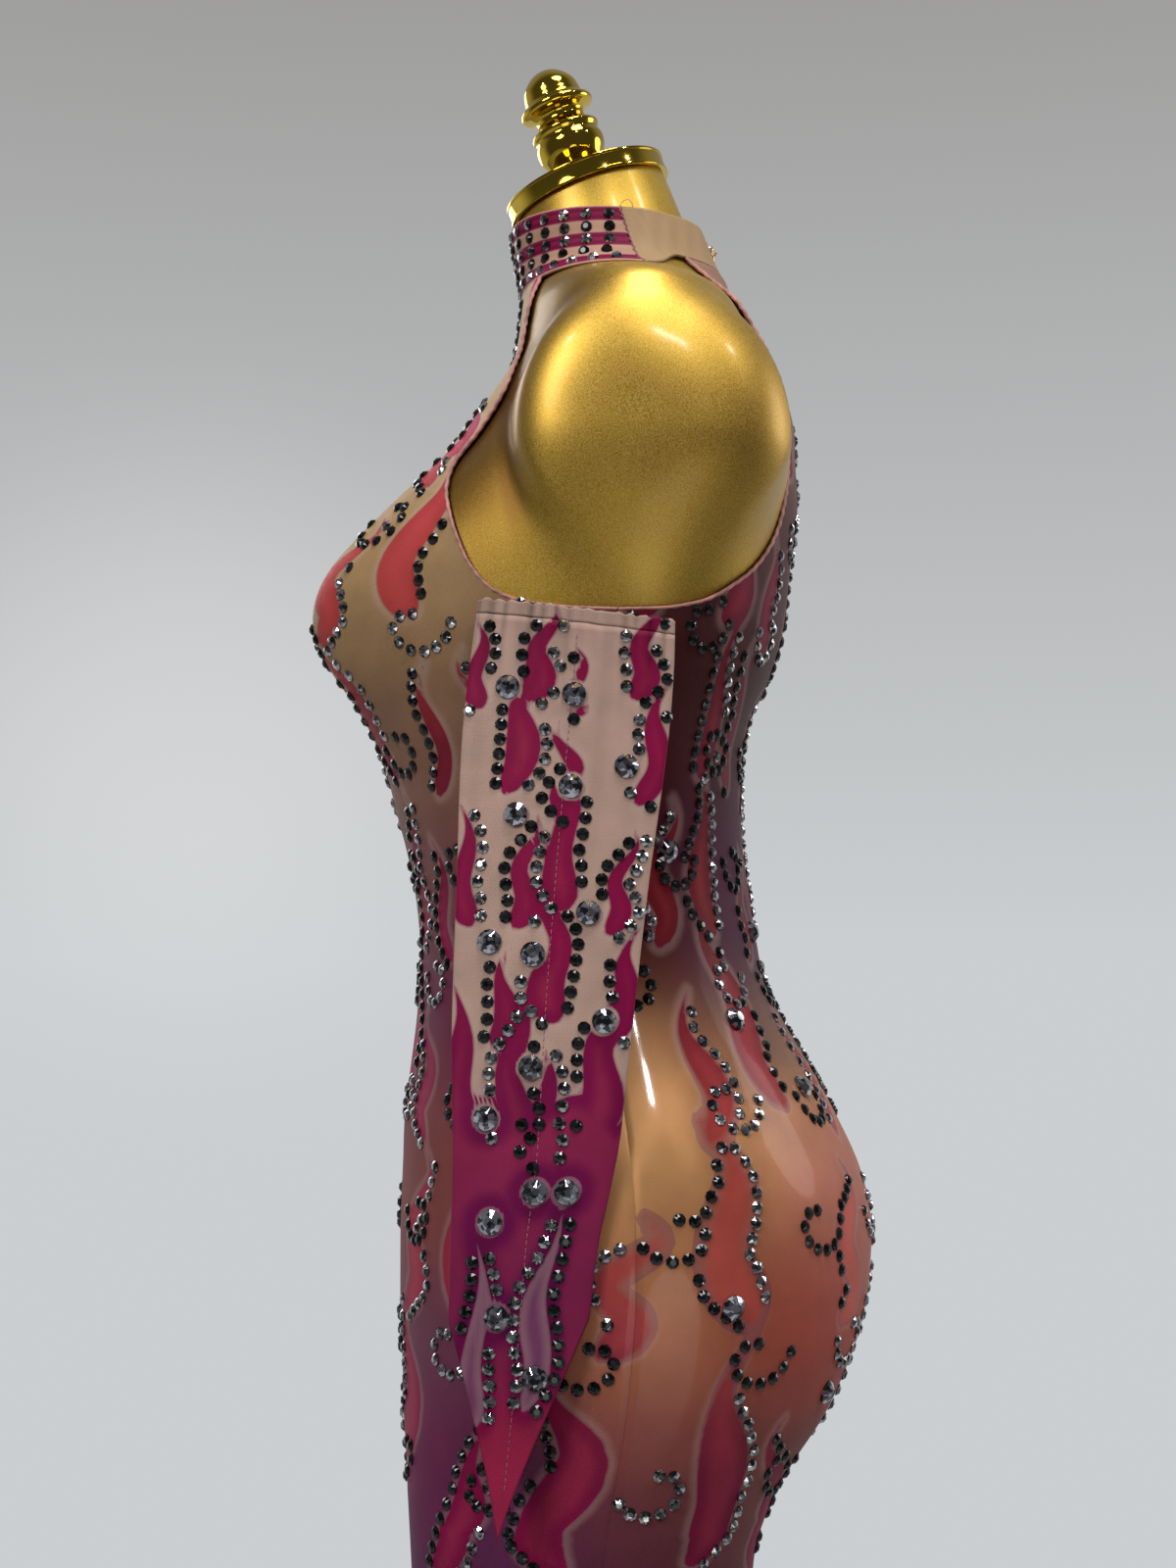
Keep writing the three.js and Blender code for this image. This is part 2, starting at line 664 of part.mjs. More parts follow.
// One large stone: a flat back, a girdle and a faceted crown with a flat table.
function stoneGeometry() {
  const { radius, girdle, crown, table } = stone;
  const profile = [[0, 0], [0.2, radius], [girdle, radius], [girdle + crown, radius * table]];
  return turned([...profile, [girdle + crown, 0]], stone.sides);
}

// Sets a stone on a surface that is given as a function of two values.
function setStone(name, surface, u, v) {
  const step = 0.05;
  const origin = surface(u, v);
  const alongU = surface(u + step, v).sub(surface(u - step, v));
  const alongV = surface(u, v + step).sub(surface(u, v - step));
  const normal = alongU.cross(alongV).normalize();
  for (const [side, sign] of [["left", 1], ["right", -1]]) {
    const mesh = addMesh(`${name}_${side}`, stoneGeometry(), smokeGlass);
    const way = new THREE.Vector3(normal.x * sign, normal.y, normal.z);
    mesh.quaternion.setFromUnitVectors(new THREE.Vector3(0, 0, 1), way);
    mesh.position.set(origin.x * sign, origin.y, origin.z).addScaledVector(way, stone.seat);
  }
}

function largeStones() {
  sleeveStones.forEach(({ across, height }, i) => {
    const surface = (turn, z) => sleevePoint(z, turn, 0);
    setStone(`sleeve_stone_${i + 1}`, surface, Math.asin(across), height);
  });
  hipStones.forEach(({ around, height }, i) => {
    const surface = (turn, z) => bodyPoint(z, turn, outerOffset);
    setStone(`hip_stone_${i + 1}`, surface, THREE.MathUtils.degToRad(around), height);
  });
}

formBody();
headPieces();
stand();
bodyPanels();
legPanels();
collar();
closure();
sleeves();
largeStones();

export default group;
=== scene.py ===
import math
import bmesh
import bpy
import numpy as np
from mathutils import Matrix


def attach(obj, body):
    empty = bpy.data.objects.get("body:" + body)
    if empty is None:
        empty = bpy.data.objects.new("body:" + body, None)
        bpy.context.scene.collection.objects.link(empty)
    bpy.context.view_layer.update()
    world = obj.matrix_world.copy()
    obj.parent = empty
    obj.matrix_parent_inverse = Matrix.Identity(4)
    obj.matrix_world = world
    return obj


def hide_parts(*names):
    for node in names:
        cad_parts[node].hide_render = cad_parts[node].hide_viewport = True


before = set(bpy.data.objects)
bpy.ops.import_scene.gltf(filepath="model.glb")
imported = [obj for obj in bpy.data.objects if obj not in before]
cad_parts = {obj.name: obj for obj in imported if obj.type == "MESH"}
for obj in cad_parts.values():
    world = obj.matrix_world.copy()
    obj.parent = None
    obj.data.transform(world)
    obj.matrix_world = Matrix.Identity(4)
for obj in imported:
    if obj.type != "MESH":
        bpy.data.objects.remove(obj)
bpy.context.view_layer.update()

mm = 0.001
rng = np.random.default_rng(11)
mirror = np.array([-1.0, 1.0, 1.0])
sides = (("left", np.ones(3)), ("right", mirror))


# Camera, lights and floor
studio = {
    "cameraPlace": (1.270, -0.00275, 1.096),
    "cameraPitch": 4.4,  # degrees up; it looks along -X
    "lens": 52.0,  # on a 36 mm long side
    "floorSize": 5.0,
    "floorColor": (0.50, 0.51, 0.52, 1),
    "wallPale": (0.60, 0.62, 0.635),
    "wallDim": (0.33, 0.325, 0.32),
    "wallDimAt": 0.42,  # how far up it is dim, as a share of straight up
    "room": (0.085, 0.085, 0.09),  # the dim room in front of the wall
    "roomFrom": (-0.45, 0.2),  # where the wall turns into the room, along X
    "sheen": {"toward": (-0.98, -0.17, 0.10), "reach": 0.2, "light": 0.22},  # a pale spot on the wall
    "worldStrength": 1.0,
    "softLights": [  # name, place, size, watts
        ("key", (1.7, -1.3, 2.4), 0.9, 25),
        ("overhead", (0.55, 0.25, 2.9), 0.7, 20),
        ("fromBack", (-0.5, 2.0, 1.9), 1.0, 10),
        ("farSide", (-1.8, -1.2, 2.0), 1.2, 10),
        ("low", (1.7, 0.5, 0.45), 0.9, 3.5),
    ],
    "spots": [  # name, place, size, watts
        ("ceilingNear", (1.5, 0.55, 2.6), 0.07, 7),
        ("ceilingFront", (1.1, -1.0, 2.7), 0.07, 7),
        ("ceilingRear", (0.7, 1.3, 2.7), 0.07, 6),
    ],
}


def toward(place, target):
    # The turn that points a lamp's -Z from its place to the target.
    reach = [t - p for t, p in zip(target, place)]
    flat = math.hypot(reach[0], reach[1])
    return (math.atan2(flat, -reach[2]), 0, math.atan2(-reach[0], reach[1]))


def buildStudio():
    scene = bpy.context.scene
    scene.view_settings.view_transform = "Standard"
    eye = bpy.data.cameras.new("camera")
    eye.sensor_width = 36
    eye.lens = studio["lens"]
    camera = bpy.data.objects.new("camera", eye)
    camera.location = studio["cameraPlace"]
    camera.rotation_euler = (math.radians(90 + studio["cameraPitch"]), 0, math.radians(90))
    scene.collection.objects.link(camera)
    scene.camera = camera
    for name, place, size, watts in studio["softLights"] + studio["spots"]:
        lamp = bpy.data.lights.new(name, "AREA")
        lamp.shape = "DISK"
        lamp.size = size
        lamp.energy = watts
        lampObject = bpy.data.objects.new(name, lamp)
        lampObject.location = place
        lampObject.rotation_euler = toward(place, (0, 0, 1.15))
        scene.collection.objects.link(lampObject)
    world = bpy.data.worlds.new("studio")
    scene.world = world
    world.use_nodes = True
    tree, sheen = world.node_tree, studio["sheen"]
    sky = tree.nodes["Background"].inputs
    place = addNode(tree, "TexCoord").outputs["Generated"]
    split = addNode(tree, "SeparateXYZ")
    ramp = addNode(tree, "ValToRGB")
    ramp.color_ramp.elements[0].color = (*studio["wallPale"], 1)
    ramp.color_ramp.elements[1].color = (*studio["wallDim"], 1)
    ramp.color_ramp.elements[1].position = studio["wallDimAt"]
    away = addNode(tree, "VectorMath", operation="DISTANCE")
    away.inputs[1].default_value = sheen["toward"]
    link(tree, (place, split.inputs[0]), (split.outputs["Z"], ramp.inputs[0]), (place, away.inputs[0]))
    spot = rangeOf(tree, away.outputs["Value"], 0.0, sheen["reach"], sheen["light"], 0.0)
    spot.node.interpolation_type = "SMOOTHERSTEP"
    lit = mixOf(tree, spot, ramp.outputs[0], (1, 1, 1, 1))
    side = rangeOf(tree, split.outputs["X"], *studio["roomFrom"], smooth=True)
    whole = mixOf(tree, side, lit, (*studio["room"], 1))
    link(tree, (whole, sky["Color"]))
    sky["Strength"].default_value = studio["worldStrength"]
    half = studio["floorSize"] / 2
    corners = [(-half, -half, 0), (half, -half, 0), (half, half, 0), (-half, half, 0)]
    mesh = bpy.data.meshes.new("floor")
    mesh.from_pydata(corners, [], [(0, 1, 2, 3)])
    floor = bpy.data.objects.new("floor", mesh)
    scene.collection.objects.link(floor)
    paint = newMaterial("floorPaint", Base_Color=studio["floorColor"], Roughness=0.6)[0]
    mesh.materials.append(paint)
    print("studio ready")


# The figure: sections of the body, as the frame's solids have them
figure = {
    "waist": 1130,
    "formInset": 1.6,
    "clothGap": 0.6,
    "clothWall": 1.4,
    "seamGap": 0.3,
    "drawnSeam": 0.04,  # half of the gap that shows at the side seams
    "crotch": (872, 812, 41),  # heights between which the legs part, and rows there
    "thighEnd": 705,
    "hem": 50,
    "underarm": 1270,
    "collarTop": 1510,
    "collarFrontFoot": 1470,
    "collarBackFoot": 1484,
    "collarSeam": 12,  # degrees behind the side line
    "napeEase": 4.5, "napeFrom": 1440, "napeTo": 1486,
    "sideRadius": 150, "legRadius": 60, "lobeRadius": 90, "neckRadius": 48,  # turn gaps into angles
    "closureGap": 5,
    "neckTop": 1528.4,
}
# over: height over the waist. reach: half width. lobe: centre of each half. front, back:
# foremost and rearmost y. side: y of the widest point. square: 0 is an ellipse. lean: slope.
sectionColumns = ["over", "reach", "lobe", "front", "back", "side", "square", "lean"]
sections = np.array([
    [-1080, 116, 81, -36, 42, 3, 0, 0], [-1020, 114, 81, -34, 40, 3, 0, 0],
    [-880, 125, 82, -42, 50, 4, 0, 0], [-750, 137, 84, -52, 66, 6, 0, 0],
    [-690, 138, 85, -58, 64, 4, 0, 0], [-630, 141, 86, -65, 60, 0, 0, 0],
    [-550, 151, 88, -76, 69, 0, 0, 0], [-480, 160, 89.5, -84, 75, 0, 0, 0],
    [-425, 165, 90.5, -86.5, 77, 0, 0, 0], [-380, 169, 91, -88.5, 77.5, 0, 0, 0],
    [-356, 171, 91, -89.5, 78, 1, 0, 0], [-330, 173.5, 90.5, -91, 80.5, 3, 0, 0],
    [-315, 174.9, 89.4, -92, 85.5, 5, 0, 0], [-308, 175.5, 88.2, -92.5, 88.5, 6, 0, 0],
    [-302, 176, 86.2, -93, 91.5, 7, 0, 0], [-290, 177, 79, -94, 100, 9, 0, 0],
    [-267, 179, 61, -97, 119, 13, 0.02, 0], [-246, 180.5, 48, -98.5, 131, 16, 0.04, 0],
    [-224, 182, 37, -100.5, 140.5, 18, 0.05, 0], [-197, 183, 27, -101.5, 146, 20, 0.06, 0],
    [-170, 182, 19, -102, 147.5, 20, 0.06, 0], [-144, 178, 12, -101.5, 142, 19, 0.06, 0],
    [-117, 170, 6, -101, 130, 16, 0.07, 0], [-90, 158, 2, -98, 116, 12, 0.08, 0],
    [-68, 148, 0, -95.5, 103, 8, 0.08, 0], [-46, 139, 0, -94, 93, 4, 0.08, 0],
    [-24, 133, 0, -94, 88.5, 1, 0.08, 0], [0, 130, 0, -96.5, 85, 0, 0.08, 0],
    [25, 130.5, 0, -101.5, 81.5, 0, 0.09, 0], [47, 132, 0, -107, 80.5, 2, 0.1, 0],
    [75, 135.5, 0, -112, 81.5, 5, 0.1, 0], [97, 139, 0, -114, 86, 8, 0.11, 0],
    [120, 144, 0, -115, 96, 10, 0.12, 0], [147, 148, 0, -115, 104, 13, 0.12, 0],
    [180, 152, 0, -112.5, 108, 16, 0.13, 0], [211, 154, 0, -100, 112, 18, 0.14, 0],
    [237, 155, 0, -80, 111, 20, 0.15, 0], [257, 156, 0, -66, 110, 21, 0.15, 0],
    [288, 156, 0, -45, 100, 21, 0.14, 0], [305, 153, 0, -41, 91, 21, 0.1, 0],
    [317, 146, 0, -39.5, 85, 21, 0.06, 0], [325, 126, 0, -39, 81, 19, 0.03, 0],
    [332, 103, 0, -38.5, 77, 17, 0.02, 0], [340, 79, 0, -38.5, 73, 15, 0, 0],
    [348, 60, 0, -39.5, 70.5, 12, 0, 0], [356, 52.5, 0, -41, 65.5, 10, 0, 0],
    [370, 48.5, 0, -43, 58, 6, 0, 0.08], [385, 46.5, 0, -44.5, 50, 2, 0, 0.2],
    [398.4, 46, 0, -44.5, 42.1, -1.2, 0, 0.356],
])
bust = {"x": 75, "z": 1277, "rise": 44, "wide": 51, "above": 57, "below": 55}
shoulderCap = {
    "y": 31, "z": 1362, "halfDepth": 75, "above": 86, "below": 125, "inner": 96, "outer": 165,
    "fillet": 8, "round": {"front": 4.5, "back": 2.7}, "edge": {"rim": 0.07, "foot": 0.42},
    "foot": 1300, "fadeFrom": 1268, "fadeTo": 1362,
}
armhole = {  # height and y of each panel's edge
    "front": [
        [1270, 12], [1271, -10], [1273, -26], [1276.5, -41], [1283, -53], [1295, -63], [1308, -69],
        [1322, -73.5], [1338, -76], [1353, -72], [1369, -60], [1388, -48], [1405, -42.5], [1425, -38.5],
        [1440, -36.5], [1455, -33.5], [1470, -29],
    ],
    "back": [
        [1270, 12], [1271, 35], [1273, 46], [1276.5, 57], [1283, 68], [1295, 82], [1308, 91.5],
        [1322, 98], [1338, 102], [1353, 104], [1369, 104.5], [1388, 103.5], [1405, 99.5], [1425, 91],
        [1440, 83], [1455, 74.5], [1470, 64], [1484, 52],
    ],
}
outerOffset = figure["clothGap"] + figure["clothWall"]
faceTurns = {"front": (-math.pi / 2, 0.0), "back": (0.0, math.pi / 2)}
halfSeam = figure["seamGap"] / 2


def along(keys, values, at):
    # A cubic through a table: each row's slope is that between its two neighbours.
    at = np.clip(at, keys[0], keys[-1])
    i = np.clip(np.searchsorted(keys, at) - 1, 0, len(keys) - 2)
    below = np.maximum(np.arange(len(keys)) - 1, 0)
    above = np.minimum(np.arange(len(keys)) + 1, len(keys) - 1)
    slopes = (values[above] - values[below]) / (keys[above] - keys[below])
    span = keys[i + 1] - keys[i]
    t = (at - keys[i]) / span
    start = values[i] * (1 - t) ** 2 * (1 + 2 * t)
    end = values[i + 1] * t ** 2 * (3 - 2 * t)
    return start + end + span * t * (1 - t) * (slopes[i] * (1 - t) - slopes[i + 1] * t)


def smoothStep(low, high, value):
    t = np.clip((value - low) / (high - low), 0, 1)
    return t * t * (3 - 2 * t)


def sectionAt(height):
    # Each column of the sections at a height in millimetres.
    over = np.asarray(height, float) - figure["waist"]
    return {
        name: along(sections[:, 0], sections[:, i], over)
        for i, name in enumerate(sectionColumns) if i
    }


def middleAngle(height, offset, middle=0.0):
    # The angle from the side line where the section meets x = middle, or a half turn past it.
    s = sectionAt(height)
    share = (s["lobe"] - middle) / (s["reach"] - s["lobe"] + offset)
    return np.arccos(-(np.clip(share, 0, 1) ** (1 / (1 - s["square"]))))


def capRise(x, y, height):
    # The cap is a rounded stump: where its face lies outside the body, the difference is added.
    # Its rim is crisp at the front, round at the back, and it runs out softly below.
    k = shoulderCap
    across = (y - k["y"]) / k["halfDepth"]
    up = (height - k["z"]) / np.where(height > k["z"], k["above"], k["below"])
    away = np.hypot(across, up)
    front = smoothStep(-0.3, 1, -across / np.maximum(away, 0.05))
    rounding = k["round"]["back"] + (k["round"]["front"] - k["round"]["back"]) * front
    swell = np.maximum(1 - away ** rounding, 0) ** (1 / rounding)
    over = k["inner"] + (k["outer"] - k["inner"]) * swell - x
    low = 1 - smoothStep(k["foot"], k["z"], height)
    edge = k["edge"]["rim"] + (k["edge"]["foot"] - k["edge"]["rim"]) * low
    gate = smoothStep(k["fadeFrom"], k["fadeTo"], height) * smoothStep(0, edge, 1 - away)
    return gate * (over + np.hypot(over, k["fillet"])) / 2


def bodyPoint(height, angle, offset, withCap=False):
    # Superellipse x = lobe + half * |cos|^power, y = side + depth * |sin|^power, pushed out by
    # offset; the bust and the shoulder caps are smooth hills added to y and x.
    height, angle = np.broadcast_arrays(np.asarray(height, float), np.asarray(angle, float))
    s = sectionAt(height)
    power = 1 - s["square"]
    c, n = np.cos(angle), np.sin(angle)
    depth = np.where(n < 0, s["side"] - s["front"], s["back"] - s["side"])
    x = s["lobe"] + (s["reach"] - s["lobe"] + offset) * np.sign(c) * np.abs(c) ** power
    y = s["side"] + (depth + offset) * np.sign(n) * np.abs(n) ** power
    spread = np.where(height > bust["z"], bust["above"], bust["below"])
    mound = np.exp(-(((x - bust["x"]) / bust["wide"]) ** 2) - ((height - bust["z"]) / spread) ** 2)
    y = y - bust["rise"] * mound * smoothStep(0, 0.6, -n)
    if withCap:
        x = x + np.where(c > 0, capRise(x, y, height), 0)
    return np.stack([x, y, height + s["lean"] * (y - s["side"])], -1)


def levelPoint(height, angle, offset):
    # The same at a true height: the ring is moved until its point lies at that height.
    ring = np.asarray(height, float) + 0 * np.asarray(angle, float)
    for _ in range(8):
        ring = ring + height - bodyPoint(ring, angle, offset)[..., 2]
    return bodyPoint(ring, angle, offset)


def angleOfY(height, y, low, high, offset):
    # Halves the range of angles until the surface has this y.
    low = np.full_like(height, low)
    high = np.full_like(height, high)
    for _ in range(30):
        middle = (low + high) / 2
        less = bodyPoint(height, middle, offset)[..., 1] < y
        low = np.where(less, middle, low)
        high = np.where(less, high, middle)
    return (low + high) / 2


def easeAt(height, angle):
    # How much further the back stands off the nape.
    turned = smoothStep(math.radians(40), math.pi / 2, np.abs(angle))
    risen = smoothStep(figure["napeFrom"], figure["napeTo"], height)
    return np.where(angle > 0, figure["napeEase"] * turned * risen, 0)


# Round distances on the cloth, for prints and stones: a table of heights and angles
rulerHeights = np.linspace(figure["hem"], figure["collarBackFoot"], 480)
rulerAngles = np.linspace(-math.pi, math.pi, 721)
rulerPoints = bodyPoint(rulerHeights[:, None], rulerAngles[None, :], outerOffset)
rulerSteps = np.linalg.norm(np.diff(rulerPoints, axis=1), axis=-1)
ruler = np.concatenate([np.zeros((len(rulerHeights), 1)), np.cumsum(rulerSteps, axis=1)], axis=1)
ruler = ruler - ruler[:, [360]]
rulerMiddle = middleAngle(rulerHeights, outerOffset)
rulerFront = np.array([np.interp(-m, rulerAngles, row) for m, row in zip(rulerMiddle, ruler)])
rulerBack = np.array([np.interp(m, rulerAngles, row) for m, row in zip(rulerMiddle, ruler)])


def arcOf(height, angle):
    # Distance round the cloth from the side line, front negative: bilinear in the table.
    u = (height - rulerHeights[0]) / (rulerHeights[1] - rulerHeights[0])
    v = (angle + math.pi) / (rulerAngles[1] - rulerAngles[0])
    u = np.clip(u, 0, len(rulerHeights) - 1.001)
    v = np.clip(v, 0, len(rulerAngles) - 1.001)
    i, j = u.astype(int), v.astype(int)
    fu, fv = u - i, v - j
    low = ruler[i, j] * (1 - fv) + ruler[i, j + 1] * fv
    high = ruler[i + 1, j] * (1 - fv) + ruler[i + 1, j + 1] * fv
    return low * (1 - fu) + high * fu


def halfWidth(height, back):
    # Distance round the cloth from the side line to the middle of the front or back.
    behind = np.interp(height, rulerHeights, rulerBack)
    before = np.interp(height, rulerHeights, -rulerFront)
    return np.where(back, behind, before)


def angleOfShare(height, share):
    # share is -1 at the middle of the front, 0 at the side line and 1 at the middle of the back.
    height, share = np.atleast_1d(height), np.atleast_1d(share)
    arc = share * halfWidth(height, share > 0)
    row = np.round((height - rulerHeights[0]) / (rulerHeights[1] - rulerHeights[0]))
    row = np.clip(row, 0, len(rulerHeights) - 1)
    return np.array([np.interp(a, ruler[int(r)], rulerAngles) for a, r in zip(arc, row)])


# Meshes
def quadsOf(rows, columns, closed=False):
    # Corner numbers of the faces between neighbouring points of a grid.
    r = np.arange(rows - 1)[:, None] * columns
    c = np.arange(columns if closed else columns - 1)[None, :]
    n = (c + 1) % columns
    return np.stack([r + c, r + n, r + columns + n, r + columns + c], -1).reshape(-1, 4)


def putMesh(name, points, faces, materials, fields=None, smooth=True, which=None):
    # Makes the object. fields holds values for each point: one number, three for a colour.
    mesh = bpy.data.meshes.new(name)
    points = np.asarray(points, float).reshape(-1, 3)
    mesh.from_pydata(points.tolist(), [], [face for part in faces for face in part.tolist()])
    for material in materials:
        mesh.materials.append(material)
    mesh.polygons.foreach_set("use_smooth", np.full(len(mesh.polygons), smooth))
    if which is not None:
        mesh.polygons.foreach_set("material_index", which.astype(np.int32))
    for field, values in (fields or {}).items():
        values = np.asarray(values, float)
        if field == "cloth":
            corners = np.empty(len(mesh.loops), np.int32)
            mesh.loops.foreach_get("vertex_index", corners)
            layer = mesh.uv_layers.new(name=field)
            layer.data.foreach_set("uv", values.reshape(-1, 2)[corners].ravel())
        elif values.size == 3 * len(points):
            layer = mesh.attributes.new(field, "FLOAT_COLOR", "POINT")
            rgba = np.concatenate([values.reshape(-1, 3), np.ones((len(points), 1))], axis=1)
            layer.data.foreach_set("color", rgba.ravel())
        else:
            layer = mesh.attributes.new(field, "FLOAT", "POINT")
            layer.data.foreach_set("value", values.ravel())
    mesh.update()
    piece = bpy.data.objects.new(name, mesh)
    bpy.context.scene.collection.objects.link(piece)
    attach(piece, "root")
    return piece


def facesOut(piece, weld=1e-6):
    # Joins points that share a place and turns every face outwards.
    work = bmesh.new()
    work.from_mesh(piece.data)
    bmesh.ops.remove_doubles(work, verts=work.verts, dist=weld)
    bmesh.ops.recalc_face_normals(work, faces=work.faces)
    work.to_mesh(piece.data)
    work.free()


def standFor(node):
    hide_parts(node)


def thicken(piece, wall):
    # Gives a sheet its wall, inwards from the modelled face.
    solid = piece.modifiers.new("wall", "SOLIDIFY")
    solid.thickness = wall
    solid.offset = -1
    solid.use_even_offset = False
    piece.modifiers.new("normals", "WEIGHTED_NORMAL")


def linear(rgb):
    # Screen colour, 0 to 255, to the renderer's linear values.
    c = np.asarray(rgb, float) / 255
    return np.where(c <= 0.04045, c / 12.92, ((c + 0.055) / 1.055) ** 2.4)


# Material helpers
def newMaterial(name, **values):
    # A Principled material with constant values set on its own sockets.
    material = bpy.data.materials.new(name)
    material.use_nodes = True
    shader = material.node_tree.nodes["Principled BSDF"]
    for socket, value in values.items():
        shader.inputs[socket.replace("_", " ")].default_value = value
    return material, material.node_tree, shader


def addNode(tree, kind, **values):
    node = tree.nodes.new("ShaderNode" + kind)
    for key, value in values.items():
        setattr(node, key, value)
    return node


def link(tree, *pairs):
    for start, end in pairs:
        tree.links.new(start, end)


def valueOf(tree, name, output="Fac"):
    # A named attribute of the piece.
    return addNode(tree, "Attribute", attribute_name=name).outputs[output]


def rgba(color, factor=1.0):
    return tuple(linear(color) * factor) + (1,)


def noiseOf(tree, scale, detail=2.0, kind="TexNoise"):
    # A pattern on the piece's own coordinates.
    node = addNode(tree, kind)
    node.inputs["Scale"].default_value = scale
    if kind == "TexNoise":
        node.inputs["Detail"].default_value = detail
    link(tree, (addNode(tree, "TexCoord").outputs["Object"], node.inputs["Vector"]))
    return node.outputs["Fac" if kind == "TexNoise" else "Color"]


def bumpOf(tree, height, strength, distance):
    node = addNode(tree, "Bump")
    node.inputs["Strength"].default_value = strength
    node.inputs["Distance"].default_value = distance
    link(tree, (height, node.inputs["Height"]))
    return node.outputs[0]


def setInputs(tree, shader, **sources):
    for socket, source in sources.items():
        link(tree, (source, shader.inputs[socket.replace("_", " ")]))


def mathOf(tree, operation, first, second=None):
    node = addNode(tree, "Math", operation=operation)
    for socket, value in zip(node.inputs, (first, second)):
        if value is None:
            continue
        if isinstance(value, (int, float)):
            socket.default_value = value
        else:
            tree.links.new(value, socket)
    return node.outputs[0]


def mixOf(tree, factor, first, second, blend="MIX"):
    node = addNode(tree, "Mix", data_type="RGBA", blend_type=blend)
    for socket, value in zip((node.inputs[0], node.inputs[6], node.inputs[7]), (factor, first, second)):
        if isinstance(value, (int, float, tuple)):
            socket.default_value = value
        else:
            tree.links.new(value, socket)
    return node.outputs[2]


def rangeOf(tree, value, low, high, toLow=0.0, toHigh=1.0, smooth=False):
    node = addNode(tree, "MapRange")
    if smooth:
        node.interpolation_type = "SMOOTHSTEP"
    tree.links.new(value, node.inputs["Value"])
    for socket, number in zip(("From Min", "From Max", "To Min", "To Max"), (low, high, toLow, toHigh)):
        if isinstance(number, (int, float)):
            node.inputs[socket].default_value = number
        else:
            tree.links.new(number, node.inputs[socket])
    return node.outputs["Result"]


def newGroup(name, inputs, outputs):
    # A shader node group with named sockets.
    group = bpy.data.node_groups.new(name, "ShaderNodeTree")
    for socket, kind, value in inputs:
        made = group.interface.new_socket(name=socket, in_out="INPUT", socket_type=kind)
        if value is not None:
            made.default_value = value
    for socket, kind in outputs:
        group.interface.new_socket(name=socket, in_out="OUTPUT", socket_type=kind)
    return group, group.nodes.new("NodeGroupInput"), group.nodes.new("NodeGroupOutput")


def buildWeave():
    # Stretch mesh: two crossing sets of fine diagonal bands, with a slow unevenness.
    group, given, out = newGroup(
        "stretchMesh",
        [("Place", "NodeSocketVector", None), ("Pitch", "NodeSocketFloat", 0.0012)],
        [("Thread", "NodeSocketFloat"), ("Uneven", "NodeSocketFloat")],
    )
    split = addNode(group, "SeparateXYZ")
    link(group, (given.outputs["Place"], split.inputs[0]))
    bands = []
    for operation in ("ADD", "SUBTRACT"):
        diagonal = mathOf(group, operation, split.outputs["X"], split.outputs["Y"])
        turns = mathOf(group, "DIVIDE", diagonal, given.outputs["Pitch"])
        wave = mathOf(group, "SINE", mathOf(group, "MULTIPLY", turns, 2 * math.pi))
        bands.append(mathOf(group, "MULTIPLY_ADD", wave, 0.5))
    for band in bands:
        band.node.inputs[2].default_value = 0.5
    thread = mathOf(group, "MAXIMUM", *bands)
    noise = addNode(group, "TexNoise", noise_dimensions="3D")
    noise.inputs["Scale"].default_value = 42
    noise.inputs["Detail"].default_value = 3
    link(group, (given.outputs["Place"], noise.inputs["Vector"]))
    link(group, (thread, out.inputs["Thread"]), (noise.outputs["Fac"], out.inputs["Uneven"]))
    return group


weave = buildWeave()


def placeWeave(tree, pitch, uvName="cloth"):
    uv = addNode(tree, "UVMap", uv_map=uvName)
    node = addNode(tree, "Group")
    node.node_tree = weave
    node.inputs["Pitch"].default_value = pitch
    link(tree, (uv.outputs[0], node.inputs["Place"]))
    return node


printLook = {
    "rim": (0.20, 0.045, 0.085, 1), "rimWidth": 0.9 * mm, "rimShare": 0.5,  # thin, round each flame
    "halo": (0.56, 0.38, 0.33, 1), "haloReach": (-6 * mm, -1.2 * mm, 0.0, 0.2),  # pale, outside it
    "heart": (0.72, 0.085, 0.11, 1), "heartReach": (2 * mm, 10 * mm, 0.0, 0.14),
    "threadPitch": 1.3 * mm, "threadShade": 0.72, "bump": 0.24, "bumpDepth": 0.4 * mm,
    "rough": (0.52, 0.3), "metal": (0.0, 0.4), "gloss": (0.0, 0.45),  # from opaque to sheer
}
nudeLook = {"nude": (156, 128, 94), "dark": (138, 108, 74), "bump": 0.15}
# The darkest gold colour is painted shade, for the fold before each shoulder cap.
goldLook = {
    "bright": (180, 146, 38), "deep": (150, 114, 24), "paintedShade": (96, 58, 30),
    "speck": (1.0, 0.72, 0.30, 1), "flake": 1500, "cloud": 7, "rough": (0.42, 0.54), "bump": 0.12,
}


